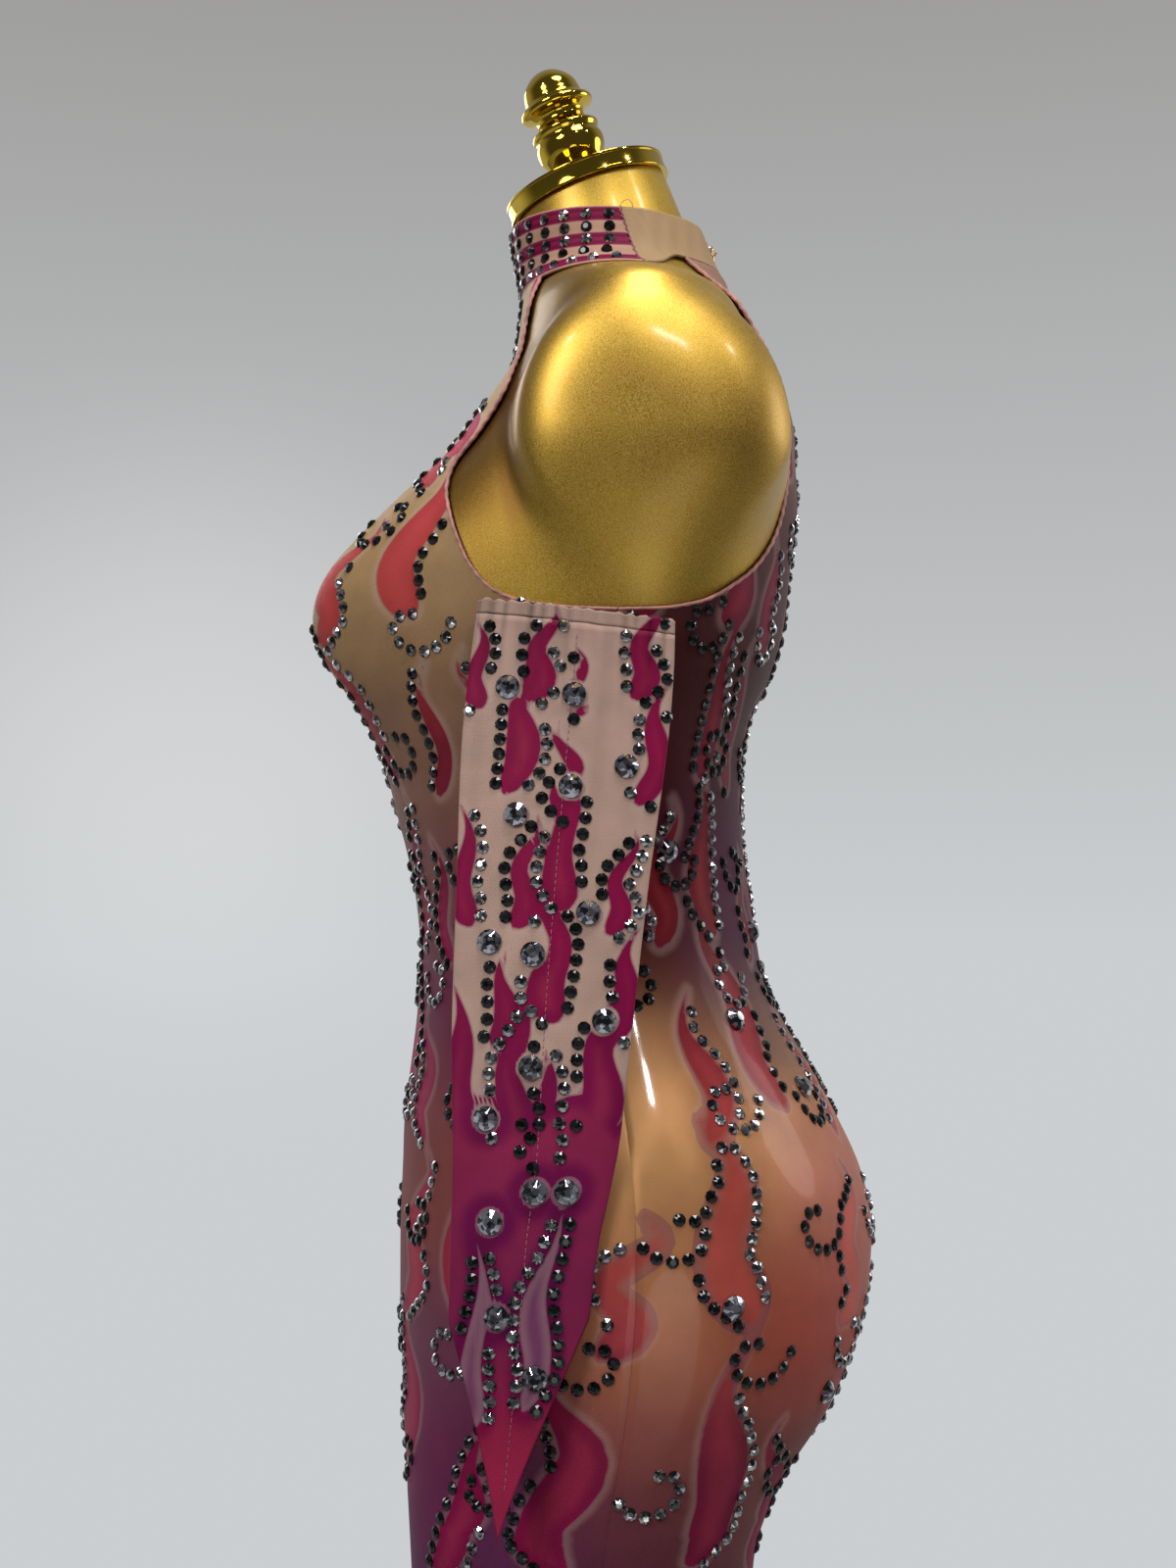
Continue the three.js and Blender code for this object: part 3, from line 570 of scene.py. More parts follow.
def printedCloth():
    # Ground colour, then a mauve outline, then the flame colour where its distance is inside.
    material, tree, shader = newMaterial(
        "printedMesh", Sheen_Weight=0.02, Sheen_Roughness=0.4, IOR=1.3, Coat_Roughness=0.08,
        Specular_IOR_Level=0.2,
    )
    look = printLook
    edge, blur, sheer = (valueOf(tree, name) for name in ("edge", "blur", "sheer"))
    mesh = placeWeave(tree, look["threadPitch"])
    low = mathOf(tree, "MULTIPLY", blur, -1.0)
    inside = rangeOf(tree, edge, low, blur, smooth=True)
    reach = mathOf(tree, "ADD", blur, look["rimWidth"])
    near = rangeOf(tree, edge, mathOf(tree, "MULTIPLY", reach, -1.0), low, smooth=True)
    halo = rangeOf(tree, edge, *look["haloReach"], smooth=True)
    haloed = mixOf(tree, halo, valueOf(tree, "ground", "Color"), look["halo"])
    outlined = mixOf(tree, mathOf(tree, "MULTIPLY", near, look["rimShare"]), haloed, look["rim"])
    heart = rangeOf(tree, edge, *look["heartReach"], smooth=True)
    glow = mixOf(tree, heart, valueOf(tree, "fire", "Color"), look["heart"])
    shade = rangeOf(tree, mesh.outputs["Thread"], 0.35, 1.0, look["threadShade"], 1.03)
    mottled = rangeOf(tree, mesh.outputs["Uneven"], 0.3, 0.7, 0.9, 1.08)
    tone = mathOf(tree, "MULTIPLY", shade, mottled)
    white = addNode(tree, "CombineXYZ")
    for socket in white.inputs:
        link(tree, (tone, socket))
    cloth = mixOf(tree, inside, outlined, glow)
    setInputs(
        tree, shader,
        Base_Color=mixOf(tree, 1.0, cloth, white.outputs[0], "MULTIPLY"),
        Roughness=rangeOf(tree, sheer, 0.0, 1.0, *look["rough"]),
        Metallic=rangeOf(tree, sheer, 0.0, 1.0, *look["metal"]),
        Coat_Weight=rangeOf(tree, sheer, 0.0, 1.0, *look["gloss"]),
        Normal=bumpOf(tree, mesh.outputs["Thread"], look["bump"], look["bumpDepth"]),
    )
    return material


def nudeCloth():
    material, tree, shader = newMaterial(
        "nudeMesh", Roughness=0.6, Sheen_Weight=0.06, Sheen_Roughness=0.4, IOR=1.36,
    )
    strand = placeWeave(tree, printLook["threadPitch"]).outputs["Thread"]
    fade = rangeOf(tree, strand, 0.3, 1.0, 0.0, 0.75)
    setInputs(
        tree, shader,
        Base_Color=mixOf(tree, fade, rgba(nudeLook["dark"]), rgba(nudeLook["nude"])),
        Normal=bumpOf(tree, strand, nudeLook["bump"], printLook["bumpDepth"]),
    )
    return material


def satinGold():
    # Gold paint: fine flake from a dense noise, slow clouds of colour, and a clear coat. Painted shade,
    # read from a point attribute, darkens it in the fold before each shoulder cap.
    material, tree, shader = newMaterial(
        "satinGold", Metallic=1.0, Coat_Weight=0.12, Coat_Roughness=0.16,
    )
    look = goldLook
    flake, cloud = noiseOf(tree, look["flake"], 2), noiseOf(tree, look["cloud"], 4)
    base = mixOf(tree, rangeOf(tree, cloud, 0.35, 0.65), rgba(look["deep"]), rgba(look["bright"]))
    speck = mixOf(tree, rangeOf(tree, flake, 0.35, 0.7, 0.0, 0.3), base, look["speck"])
    setInputs(
        tree, shader,
        Base_Color=mixOf(tree, valueOf(tree, "paintedShade"), speck, rgba(look["paintedShade"])),
        Roughness=rangeOf(tree, flake, 0.3, 0.7, *look["rough"]),
        Normal=bumpOf(tree, flake, look["bump"], 0.15 * mm),
    )
    return material


def metalOf(name, color, rough, spread, scale):
    # Metal with faint uneven polish.
    material, tree, shader = newMaterial(name, Metallic=1.0)
    noise = noiseOf(tree, scale, 5)
    base = mixOf(tree, rangeOf(tree, noise, 0.35, 0.65), rgba(color, 0.8), rgba(color))
    roughness = rangeOf(tree, noise, 0.3, 0.7, rough, rough + spread)
    setInputs(tree, shader, Base_Color=base, Roughness=roughness)
    return material


def stoneGlass(name, color, metallic, rough, coat):
    # A foiled stone: mirror facets, each cell of a Voronoi pattern darker or lighter.
    material, tree, shader = newMaterial(
        name, Metallic=metallic, Roughness=rough, Coat_Weight=coat, Coat_Roughness=0.03, IOR=1.45,
    )
    cells = noiseOf(tree, 420, kind="TexVoronoi")
    light = tuple(np.minimum(linear(color) * 2.6 + 0.004, 1)) + (1,)
    base = mixOf(tree, rangeOf(tree, cells, 0.35, 0.75), rgba(color, 0.22), light)
    setInputs(tree, shader, Base_Color=base)
    return material


def plainCloth(name, color, rough):
    # Matt cloth or thread of one colour with a slow unevenness.
    material, tree, shader = newMaterial(name, Roughness=rough, Sheen_Weight=0.15, Sheen_Roughness=0.4)
    share = rangeOf(tree, noiseOf(tree, 90), 0.35, 0.65)
    setInputs(tree, shader, Base_Color=mixOf(tree, share, rgba(color, 0.6), rgba(color)))
    return material


printed = printedCloth()
bindingCloth = plainCloth("bindingCloth", (176, 118, 108), 0.6)
thread = plainCloth("thread", (176, 110, 122), 0.7)
nude = nudeCloth()
gold = satinGold()
polished = metalOf("polishedGold", (208, 174, 58), 0.03, 0.05, 30)
standPaint = metalOf("standGold", (176, 148, 84), 0.26, 0.12, 60)
wireMetal = metalOf("hookWire", (214, 180, 120), 0.2, 0.1, 200)
jet = stoneGlass("jetStone", (8, 8, 10), 0.0, 0.06, 0.0)
smoke = stoneGlass("smokeStone", (122, 120, 122), 0.95, 0.08, 0.6)
clear = stoneGlass("clearStone", (128, 128, 136), 0.95, 0.06, 0.6)


# The print: soft washes of colour and flames, in millimetres of y and height. The dark washes at the back
# of the waist, behind the sleeve, are print with painted shade from the sleeve's shadow.
washes = {  # y, height, spread, screen colour
    "ground": [
        (-45, 1440, 40, (170, 140, 104)), (-70, 1370, 34, (168, 138, 100)),
        (-118, 1290, 42, (150, 120, 82)), (-95, 1215, 34, (131, 96, 77)),
        (-92, 1140, 30, (118, 71, 70)), (-90, 1070, 34, (96, 18, 58)),
        (-86, 985, 34, (126, 60, 57)), (-70, 900, 26, (109, 57, 79)),
        (-92, 850, 26, (115, 10, 64)), (-60, 830, 34, (96, 44, 84)),
        # Print and painted shade: the dark washes at the back of the waist, behind the sleeve, are
        # darkened for the sleeve's shadow.
        (100, 1420, 45, (137, 101, 84)), (98, 1310, 34, (78, 34, 36)), (62, 1235, 30, (66, 26, 26)),
        (30, 1170, 30, (62, 12, 12)), (34, 1100, 26, (70, 10, 8)), (70, 1150, 26, (72, 18, 52)),
        (74, 1100, 22, (78, 34, 60)), (96, 1062, 18, (104, 74, 64)), (62, 1044, 20, (84, 30, 26)),
        (20, 1010, 34, (206, 154, 100)), (72, 1005, 32, (176, 122, 80)), (120, 980, 26, (172, 99, 83)),
        (30, 930, 32, (178, 112, 76)),
        (100, 920, 30, (166, 74, 62)), (30, 870, 26, (136, 70, 64)), (14, 820, 28, (91, 38, 51)),
        (80, 840, 30, (112, 64, 62)), (0, 720, 50, (82, 24, 56)), (0, 560, 70, (96, 23, 63)),
        (0, 400, 70, (138, 75, 92)), (0, 260, 60, (160, 119, 105)), (0, 110, 60, (126, 17, 71)),
    ],
    "flame": [
        (-52, 1430, 45, (150, 19, 73)), (-105, 1290, 45, (166, 60, 57)), (-92, 1190, 36, (111, 23, 42)),
        (-88, 1060, 50, (134, 11, 67)), (-86, 950, 40, (158, 33, 58)), (-86, 850, 45, (131, 9, 66)),
        (98, 1320, 55, (110, 13, 43)), (52, 1200, 40, (102, 18, 32)), (52, 1100, 40, (102, 14, 22)),
        (95, 1035, 34, (129, 28, 38)), (90, 950, 45, (193, 89, 72)), (50, 840, 45, (110, 14, 51)),
        (0, 600, 130, (134, 10, 66)), (0, 200, 150, (145, 12, 70)),
    ],
}


def washOf(name, y, height):
    # Each place takes the mean of the washes, weighted by a bell curve of its distance.
    total = np.zeros(y.shape + (3,))
    weight = np.zeros(y.shape + (1,))
    for wy, wz, spread, color in washes[name]:
        near = np.exp(-(((y - wy) / spread) ** 2 + ((height - wz) / spread) ** 2) / 2)[..., None] + 1e-9
        total += near * linear(color)
        weight += near
    return total / weight


# Tiers of flames: height of the feet, length, half width, and how many there are
bodyTiers = [
    [1424, 58, 9, 6], [1350, 66, 11, 7], [1268, 70, 12, 8], [1186, 72, 7, 10], [1104, 74, 8, 9],
    [1016, 82, 11, 8], [920, 78, 12, 7], [806, 96, 14, 8],
]
sleeveTiers = [
    [1222, 42, 6, 4], [1172, 56, 7, 3], [1116, 60, 7, 4], [1062, 58, 7.5, 3], [1006, 66, 9, 4],
]
paleTiers = [[880, 84, 6.5, 2]]  # the light flames in the sleeve's hand


def flamesOf(tiers, half):
    # Each tier stands half a pitch beside the one below it, and neighbours lean apart. A slow
    # sine of the place varies the height, length and width.
    rows = []
    for tier, (foot, long, wide, count) in enumerate(tiers):
        pitch = 2 * half / count
        for i in range(count):
            vary, way = math.sin(2.4 * i + 1.7 * tier), 1 if (i + tier) % 2 else -1
            across = -half + pitch * (i + 0.3 + 0.4 * (tier % 2))
            rows.append([
                across, foot + 0.12 * long * vary, long * (1 + 0.2 * vary), 0.26 * pitch * way,
                0.14 * pitch * way, 2 + i % 2, wide * (1 + 0.22 * vary),
            ])
    return rows


# Flames: across, foot, long, lean, sway, waves, wide. across: 200 is the half width of the front
# or back, 0 the side line, front negative; on the sleeve 50 is its half width. foot: height of
# the wide end. long: up, or down if negative. lean, sway: sideways, across the length. waves:
# half waves of the sway. wide: half width near the foot.
bodyFlames = flamesOf(bodyTiers, 200)
legFlames = [
    # Above and below the knee, and rising from the hem, all round
    [-160, 640, 110, 12, 11, 3, 18], [-96, 620, 127, -14, -11, 3, 18], [-36, 640, 107, 12, 10, 3, 18],
    [36, 620, 127, -10, 11, 3, 18], [104, 640, 107, 12, -10, 3, 18], [166, 620, 117, -10, 10, 3, 17],
    [-130, 560, -146, 10, 10, 3, 17], [-64, 580, -161, -12, 10, 3, 17], [4, 560, -146, 10, 10, 3, 17],
    [70, 580, -161, -12, 10, 3, 17], [136, 560, -142, 12, 10, 3, 17], [-184, 570, -134, 8, 7, 3, 13],
    [-168, 60, 232, 16, 12, 3, 21], [-104, 52, 183, -14, -12, 3, 20], [-44, 60, 244, 12, 12, 3, 21],
    [20, 52, 195, -12, -11, 3, 20], [84, 60, 239, 14, 12, 3, 21], [148, 52, 190, -12, -11, 3, 20],
]
sleeveFlames = flamesOf(sleeveTiers, 50)
paleFlames = flamesOf(paleTiers, 34)


def strokeOf(row, steps=18):
    # Middle line x = across + lean s + sway sin(pi waves s). The half width swells from a
    # rounded foot and falls to a fine tip, with a slow ripple.
    across, foot, long, lean, sway, waves, wide = row
    s = np.linspace(0, 1, steps)
    x = across + lean * s + sway * np.sin(math.pi * waves * s)
    z = foot + long * s
    swell = np.minimum(s / 0.1 + 0.25, 1) ** 0.5 * (0.75 + 0.5 * np.sin(math.pi * s * 1.1))
    ripple = 1 + 0.16 * np.sin(9 * s + across)
    radius = wide * swell * ripple * np.maximum(1 - s, 0) ** 0.85
    return x, z, radius


def flameField(across, height, scale, rows):
    # Distance in millimetres inside the nearest flame: half width less the distance to its line.
    # Where flames meet, the larger value rules, eased so that their joint is a round fillet.
    best = np.full(across.shape, -60.0)
    for row in rows:
        x, z, radius = strokeOf(row)
        low, high = min(z) - 30, max(z) + 30
        near = (height > low) & (height < high)
        if not near.any():
            continue
        px, pz, ps = across[near], height[near], scale[near]
        inside = np.full(px.shape, -60.0)
        for i in range(len(x) - 1):
            dx, dz = (x[i + 1] - x[i]) * ps, z[i + 1] - z[i]
            qx, qz = (px - x[i]) * ps, pz - z[i]
            t = np.clip((qx * dx + qz * dz) / (dx * dx + dz * dz + 1e-9), 0, 1)
            away = np.hypot(qx - t * dx, qz - t * dz)
            inside = np.maximum(inside, radius[i] + t * (radius[i + 1] - radius[i]) - away)
        here = best[near]
        blend = np.maximum(5 - np.abs(here - inside), 0) / 5
        best[near] = np.maximum(here, inside) + blend * blend * 5 / 4
    return best


def bodyFields(height, angle, rows):
    # What the print reads at each point of a panel.
    y = bodyPoint(height, angle, outerOffset)[..., 1]
    arc = arcOf(height, angle)
    half = halfWidth(height, arc > 0)
    across = arc / half * 200
    onHip = np.exp(-((y - 60) / 62) ** 2 - ((height - 965) / 62) ** 2)
    return {
        "ground": washOf("ground", y, height),
        "fire": washOf("flame", y, height),
        "edge": flameField(across, height, half / 200, rows) * mm,
        "blur": (0.3 + 5.5 * onHip) * mm,
        "sheer": np.clip(1.25 * np.exp(-((y - 40) / 60) ** 2 - ((height - 975) / 75) ** 2), 0, 1),
        "cloth": np.stack([arc, height], -1) * mm,
    }


def armholeRun(side):
    # The armhole's table from the collar's foot down, and the distance run along it.
    table = np.array(armhole[side], float)[::-1]
    foot = "collarFrontFoot" if side == "front" else "collarBackFoot"
    table[0, 0] = figure[foot] - figure["seamGap"]
    return table, np.concatenate([[0], np.cumsum(np.hypot(*np.diff(table, axis=0).T))])


# Panels: their grids of height and angle
panelGrid = {"edgeRows": 74, "level": 1225, "rowStep": 4.0, "columns": 60, "legColumns": 44}


def panelPlaces(side):
    # Upper part: straight lines in height and angle from the middle of the body to the armhole
    # edge and side seam, at like shares of both. Lower part: level rows.
    way = -1 if side == "front" else 1
    table, run = armholeRun(side)
    top, underarm = table[0, 0], run[-1]
    whole = underarm + figure["underarm"] - panelGrid["level"]
    share = np.linspace(0, 1, panelGrid["edgeRows"])
    at = share * whole
    edgeZ = np.where(at < underarm, along(run, table[:, 0], at), figure["underarm"] - (at - underarm))
    edgeYs = along(run, table[:, 1], at)
    slit = figure["drawnSeam"] / figure["sideRadius"]
    edgeAngle = angleOfY(edgeZ, edgeYs, *faceTurns[side], outerOffset)
    edgeAngle = np.where(at < underarm, edgeAngle, way * slit)
    edgeAngle = np.where(way * edgeAngle < slit, way * slit, edgeAngle)
    middleZ = top + (panelGrid["level"] - top) * share
    middle = way * middleAngle(middleZ, outerOffset, halfSeam)
    t = np.linspace(0, 1, panelGrid["columns"] + 1)[None, :]
    heights = middleZ[:, None] + (edgeZ - middleZ)[:, None] * t
    angles = middle[:, None] + (edgeAngle - middle)[:, None] * t
    count = round((panelGrid["level"] - figure["thighEnd"]) / panelGrid["rowStep"])
    lowZ = np.linspace(panelGrid["level"], figure["thighEnd"], count + 1)[1:]
    lowZ = np.unique(np.concatenate([lowZ, np.linspace(*figure["crotch"])]))[::-1]
    low = way * middleAngle(lowZ, outerOffset, halfSeam)
    parted = way * (math.pi - halfSeam / figure["lobeRadius"])
    low = np.where(np.abs(low) > math.pi - 1e-6, parted, low)
    lowAngles = low[:, None] + (way * slit - low)[:, None] * t
    heights = np.concatenate([heights, lowZ[:, None] + 0 * lowAngles])
    angles = np.concatenate([angles, lowAngles])
    return heights, angles


def legPlaces(way):
    count = round((figure["thighEnd"] - figure["hem"]) / panelGrid["rowStep"])
    z = np.linspace(figure["thighEnd"] - figure["seamGap"], figure["hem"], count + 1)
    t = np.linspace(0, 1, panelGrid["legColumns"] + 1)
    slit = figure["drawnSeam"] / figure["legRadius"]
    angles = way * (math.pi - slit + (2 * slit - math.pi) * t)
    return np.broadcast_arrays(z[:, None], angles[None, :])


cutSizes = {  # flat width, length and area of each cut piece, metres: smaller than worn
    "front": (0.235, 0.80, 0.148), "back": (0.250, 0.80, 0.140),
    "legFront": (0.215, 0.655, 0.110), "legBack": (0.215, 0.655, 0.110),
}


def buildPanel(name, node, heights, angles, flames, cut):
    # The cloth lies outerOffset outside the body's sections, a little further off at the nape.
    angles = np.array(angles)
    heights = np.array(heights, float)
    ease = easeAt(heights, angles)
    points = bodyPoint(heights, angles, outerOffset + ease)
    points[..., 0] = np.maximum(points[..., 0], halfSeam)
    fields = bodyFields(heights, angles, flames)
    faces = quadsOf(*heights.shape)
    for side, flip in sides:
        placed = points * flip * mm
        piece = putMesh(f"{name}Cloth_{side}", placed, [faces], [printed], fields)
        finishSheet(piece, f"{node}_{side}")


def averageOut(piece):
    # Positive if the faces look away from the body's middle on the whole.
    count = len(piece.data.polygons)
    normals, centres = np.empty(count * 3), np.empty(count * 3)
    piece.data.polygons.foreach_get("normal", normals)
    piece.data.polygons.foreach_get("center", centres)
    normals, centres = normals.reshape(-1, 3), centres.reshape(-1, 3)
    axis = np.stack([np.sign(centres[:, 0]) * 0.05, 0 * centres[:, 0]], -1)
    return float(np.sum(normals[:, :2] * (centres[:, :2] - axis)))


def finishSheet(piece, node):
    # Faces outwards, the cloth's wall, and its node in the frame hidden.
    facesOut(piece, 1e-7)
    if averageOut(piece) < 0:
        piece.data.flip_normals()
    thicken(piece, figure["clothWall"] * mm)
    standFor(node)


def buildPanels():
    for side in ("front", "back"):
        buildPanel(side, side, *panelPlaces(side), bodyFlames + legFlames, cutSizes[side])
    for name, side, way in (("legFront", "front", -1), ("legBack", "back", 1)):
        buildPanel(name, f"leg_{side}", *legPlaces(way), bodyFlames + legFlames, cutSizes[name])
    print("panels made")


# The dress form
# Painted shade before each shoulder cap: distance of the rim, width, darkness, share in front, and heights
# over which it comes in.
capShadeLook = {"edge": 1.02, "wide": 0.13, "dark": 0.78, "before": 0.62, "low": 1285, "high": 1330}


def capShadeOf(points):
    # Painted shade in the fold before each shoulder cap: the gold is darkened by a bell curve of the
    # distance from the cap's rim, and by a flat share in front of it.
    k, c = shoulderCap, capShadeLook
    y, z = points[..., 1], points[..., 2]
    across = (y - k["y"]) / k["halfDepth"]
    up = (z - k["z"]) / np.where(z > k["z"], k["above"], k["below"])
    away = np.hypot(across, up)
    front = smoothStep(0.1, 0.8, -across / np.maximum(away, 0.05))
    fold = c["dark"] * np.exp(-(((away - c["edge"]) / c["wide"]) ** 2))
    before = c["before"] * smoothStep(1.0, 1.12, away) * (1 - smoothStep(1.5, 2.2, away))
    return front * np.maximum(fold, before) * smoothStep(c["low"], c["high"], z)


def buildForm():
    # Rings of the left half from the middle of the front round to the middle of the back, and
    # their mirror image; the neck's top and the thigh ends are closed with rings that shrink.
    inset = -figure["formInset"]
    z = np.concatenate([
        np.linspace(figure["neckTop"], 1440, 40), np.linspace(1438, 1250, 70), np.linspace(1246, 874, 94),
        np.linspace(*figure["crotch"]), np.linspace(808, figure["thighEnd"], 26),
    ])
    middle = middleAngle(z, inset)
    t = np.linspace(-1, 1, 141)[None, :]
    angles = middle[:, None] * t
    ring = bodyPoint(z[:, None] + 0 * t, angles, inset, True)
    ring[..., 0] = np.maximum(ring[..., 0], 0)
    shrink = np.array([0.97, 0.9, 0.7, 0.4, 0.0])
    top = ring[0]
    centre = np.array([0, -1.2, figure["neckTop"]])
    caps = [centre + (top - centre) * share for share in shrink[::-1]]
    foot = ring[-1]
    footCentre = np.array([90.5, 0, figure["thighEnd"]])
    ends = [footCentre + (foot - footCentre) * share for share in shrink]
    grid = np.concatenate([np.array(caps), ring, np.array(ends)])
    faces = quadsOf(grid.shape[0], grid.shape[1])
    count = grid.shape[0] * grid.shape[1]
    half = grid.reshape(-1, 3)
    both = np.concatenate([half, half * mirror]) * mm
    # Painted shade: how far the gold is darkened in the fold before each shoulder cap.
    paintedShade = np.tile(capShadeOf(grid).ravel(), 2)
    piece = putMesh("formBody", both, [faces, faces[:, ::-1] + count], [gold], {"paintedShade": paintedShade})
    facesOut(piece, 2e-5)
    standFor("form_body")
    print("form made")


# Turned pieces: a profile of height and radius carried round an axis
def turnedMesh(name, profile, material, segments=96, place=None):
    profile = np.array(profile, float)
    turn = np.linspace(0, 2 * math.pi, segments, endpoint=False)
    x = profile[:, 1, None] * np.cos(turn)
    y = profile[:, 1, None] * np.sin(turn)
    z = profile[:, 0, None] + 0 * x
    points = np.stack([x, y, z], -1)
    if place is not None:
        points = place(points)
    piece = putMesh(name, points * mm, [quadsOf(len(profile), segments, True)], [material])
    facesOut(piece, 1e-6)
    return piece


def rounded(corners, radius, steps=5):
    # A profile whose corners are replaced by arcs: a curve from before to after each corner.
    corners = np.array(corners, float)
    out = [corners[0]]
    for before, corner, after in zip(corners, corners[1:], corners[2:]):
        a = before - corner
        b = after - corner
        cut = min(radius, np.linalg.norm(a) / 2, np.linalg.norm(b) / 2)
        start = corner + a / max(np.linalg.norm(a), 1e-9) * cut
        end = corner + b / max(np.linalg.norm(b), 1e-9) * cut
        for s in np.linspace(0, 1, steps):
            out.append((1 - s) ** 2 * start + 2 * s * (1 - s) * corner + s * s * end)
    out.append(corners[-1])
    return np.array(out)


headPieces = {
    "tilt": 19.6,
    "capRadius": 47.4,
    "capThick": 10.5,
    "knob": [
        [0, 15], [2, 15], [5, 12.5], [9, 14], [14, 17], [19, 19.3], [24.5, 19.8], [29, 18.5],
        [31, 19.6], [33, 19.6], [36, 15.5], [39.5, 13.9], [42.5, 15], [45, 20.6], [48, 21.2],
        [51, 17.6], [54, 16.8], [60, 15.4], [65, 11.8], [68.6, 7], [70.3, 0],
    ],
}


def buildHead():
    tilt = math.radians(headPieces["tilt"])
    axis = np.array([0, -math.sin(tilt), math.cos(tilt)])
    seat = np.array([0, -1.2, figure["neckTop"]])

    def placed(lift):
        # Tips a turned piece forward about X and seats it on the neck.
        def move(points):
            x, y, z = points[..., 0], points[..., 1], points[..., 2]
            back = y * math.cos(tilt) - z * math.sin(tilt)
            high = y * math.sin(tilt) + z * math.cos(tilt)
            return np.stack([x, back, high], -1) + seat + axis * lift
        return move

    r, thick = headPieces["capRadius"], headPieces["capThick"]
    corners = [
        [0, 0], [0, r], [1.6, r], [1.6, r - 0.5], [8.9, r - 0.5], [8.9, r], [thick, r],
        [thick, r - 2.2], [thick - 0.7, r - 2.8], [thick - 0.7, 0],
    ]
    cap = turnedMesh("neckCap", rounded(corners, 0.45), polished, 128, placed(figure["seamGap"]))
    standFor("neck_cap")
    knob = np.array(headPieces["knob"])
    steps = np.concatenate([[0], np.cumsum(np.hypot(*np.diff(knob, axis=0).T))])
    fine = np.linspace(0, steps[-1], 120)
    radius = np.maximum(along(steps, knob[:, 1], fine), 0)
    profile = np.stack([along(steps, knob[:, 0], fine), radius], -1)
    profile[-1, 1] = 0
    profile = np.concatenate([[[0, 0]], profile])
    finial = turnedMesh("neckFinial", profile, polished, 96, placed(thick + 2 * figure["seamGap"]))
    standFor("neck_finial")
    print("cap and finial made")


standPieces = {
    "baseRadius": 172, "baseThick": 12, "poleX": 84, "poleRadius": 11,
    "footRadius": 24, "footHeight": 22, "plateRadius": 38, "plateThick": 6,
}


def buildStand():
    s, gap = standPieces, figure["seamGap"]
    r, t = s["baseRadius"], s["baseThick"]
    baseLine = rounded([[0, 0], [0, r], [t - 3, r], [t, r - 6], [t, 0]], 2.4)
    basePiece = turnedMesh("standBase", baseLine, standPaint, 160)
    standFor("stand_base")
    low = t + gap
    top = figure["thighEnd"] - gap - s["plateThick"]
    for side, flip in sides:
        def move(lift):
            return lambda points: points + np.array([flip[0] * s["poleX"], 0, lift])
        long = top - gap - low
        p = s["poleRadius"]
        tubeLine = rounded([[0, 0], [0, p], [long, p], [long, 0]], 0.8)
        tube = turnedMesh(f"standPole_{side}", tubeLine, standPaint, 48, move(low))
        f, h, hole = s["footRadius"], s["footHeight"], p + gap
        corners = [[0, hole], [0, f], [3, f], [h - 6, hole + 7], [h, hole + 4], [h, hole], [0.01, hole]]
        ring = rounded(corners, 1.5)
        footLine = np.concatenate([ring, [[0, hole]]])
        foot = turnedMesh(f"standFoot_{side}", footLine, standPaint, 64, move(low))
        w, k = s["plateRadius"], s["plateThick"]
        plateLine = rounded([[0, 0], [0, w], [k, w], [k, 0]], 1)
        plate = turnedMesh(f"standPlate_{side}", plateLine, standPaint, 64, move(top))
        for piece, node in ((tube, "pole"), (foot, "foot"), (plate, "plate")):
            standFor(f"stand_{node}_{side}")
    print("stand made")


# Sleeves
sleeveCut = {
    "columns": ["height", "centre", "half", "out"],
    "rows": np.array([
        [826, -45, 30, 189.4], [876, -40, 33, 189.8], [927, -35.5, 33.5, 190], [960, -33, 35, 189.8],
        [985, -30, 37.5, 188], [1010, -27.5, 40, 185], [1062, -25, 43.5, 177.5], [1133, -20, 47, 168],
        [1200, -14.5, 51, 158.6], [1240, -11, 51, 154], [1280, -8, 49, 151.4],
    ], float),
    "top": 1269.5, "slope": -0.12, "band": 7,
    "tip": 826, "wrist": 927,
    "halfThick": 3, "wall": 1.2,
    "bowFront": 6, "bowBack": 1.5,
    "gathers": 6, "gatherDepth": 1.3, "gatherFade": 45,
    "pleats": 15, "pleatPhase": 0.6, "pleatDepth": 0.7, "pleatReach": 60, "pleatShade": 0.5,
    "ridges": 5, "ridgePhase": 0.8, "ridgeDrift": 0.004, "ridgeReach": 190, "ridgeDepth": 0.5,
    "ridgeShade": 0.16, "edgeBump": 0.8,
    "curl": 5, "curlFrom": 872,
}


def sleeveCol(name, height):
    column = sleeveCut["columns"].index(name)
    return along(sleeveCut["rows"][:, 0], sleeveCut["rows"][:, column], height)


def pleatWave(turn):
    return np.sin(sleeveCut["pleats"] * math.pi * np.sin(turn) + sleeveCut["pleatPhase"])


def ridgeWave(height, turn):
    phase = sleeveCut["ridgePhase"] + height * sleeveCut["ridgeDrift"]
    return np.sin(sleeveCut["ridges"] * math.pi * np.sin(turn) + phase)


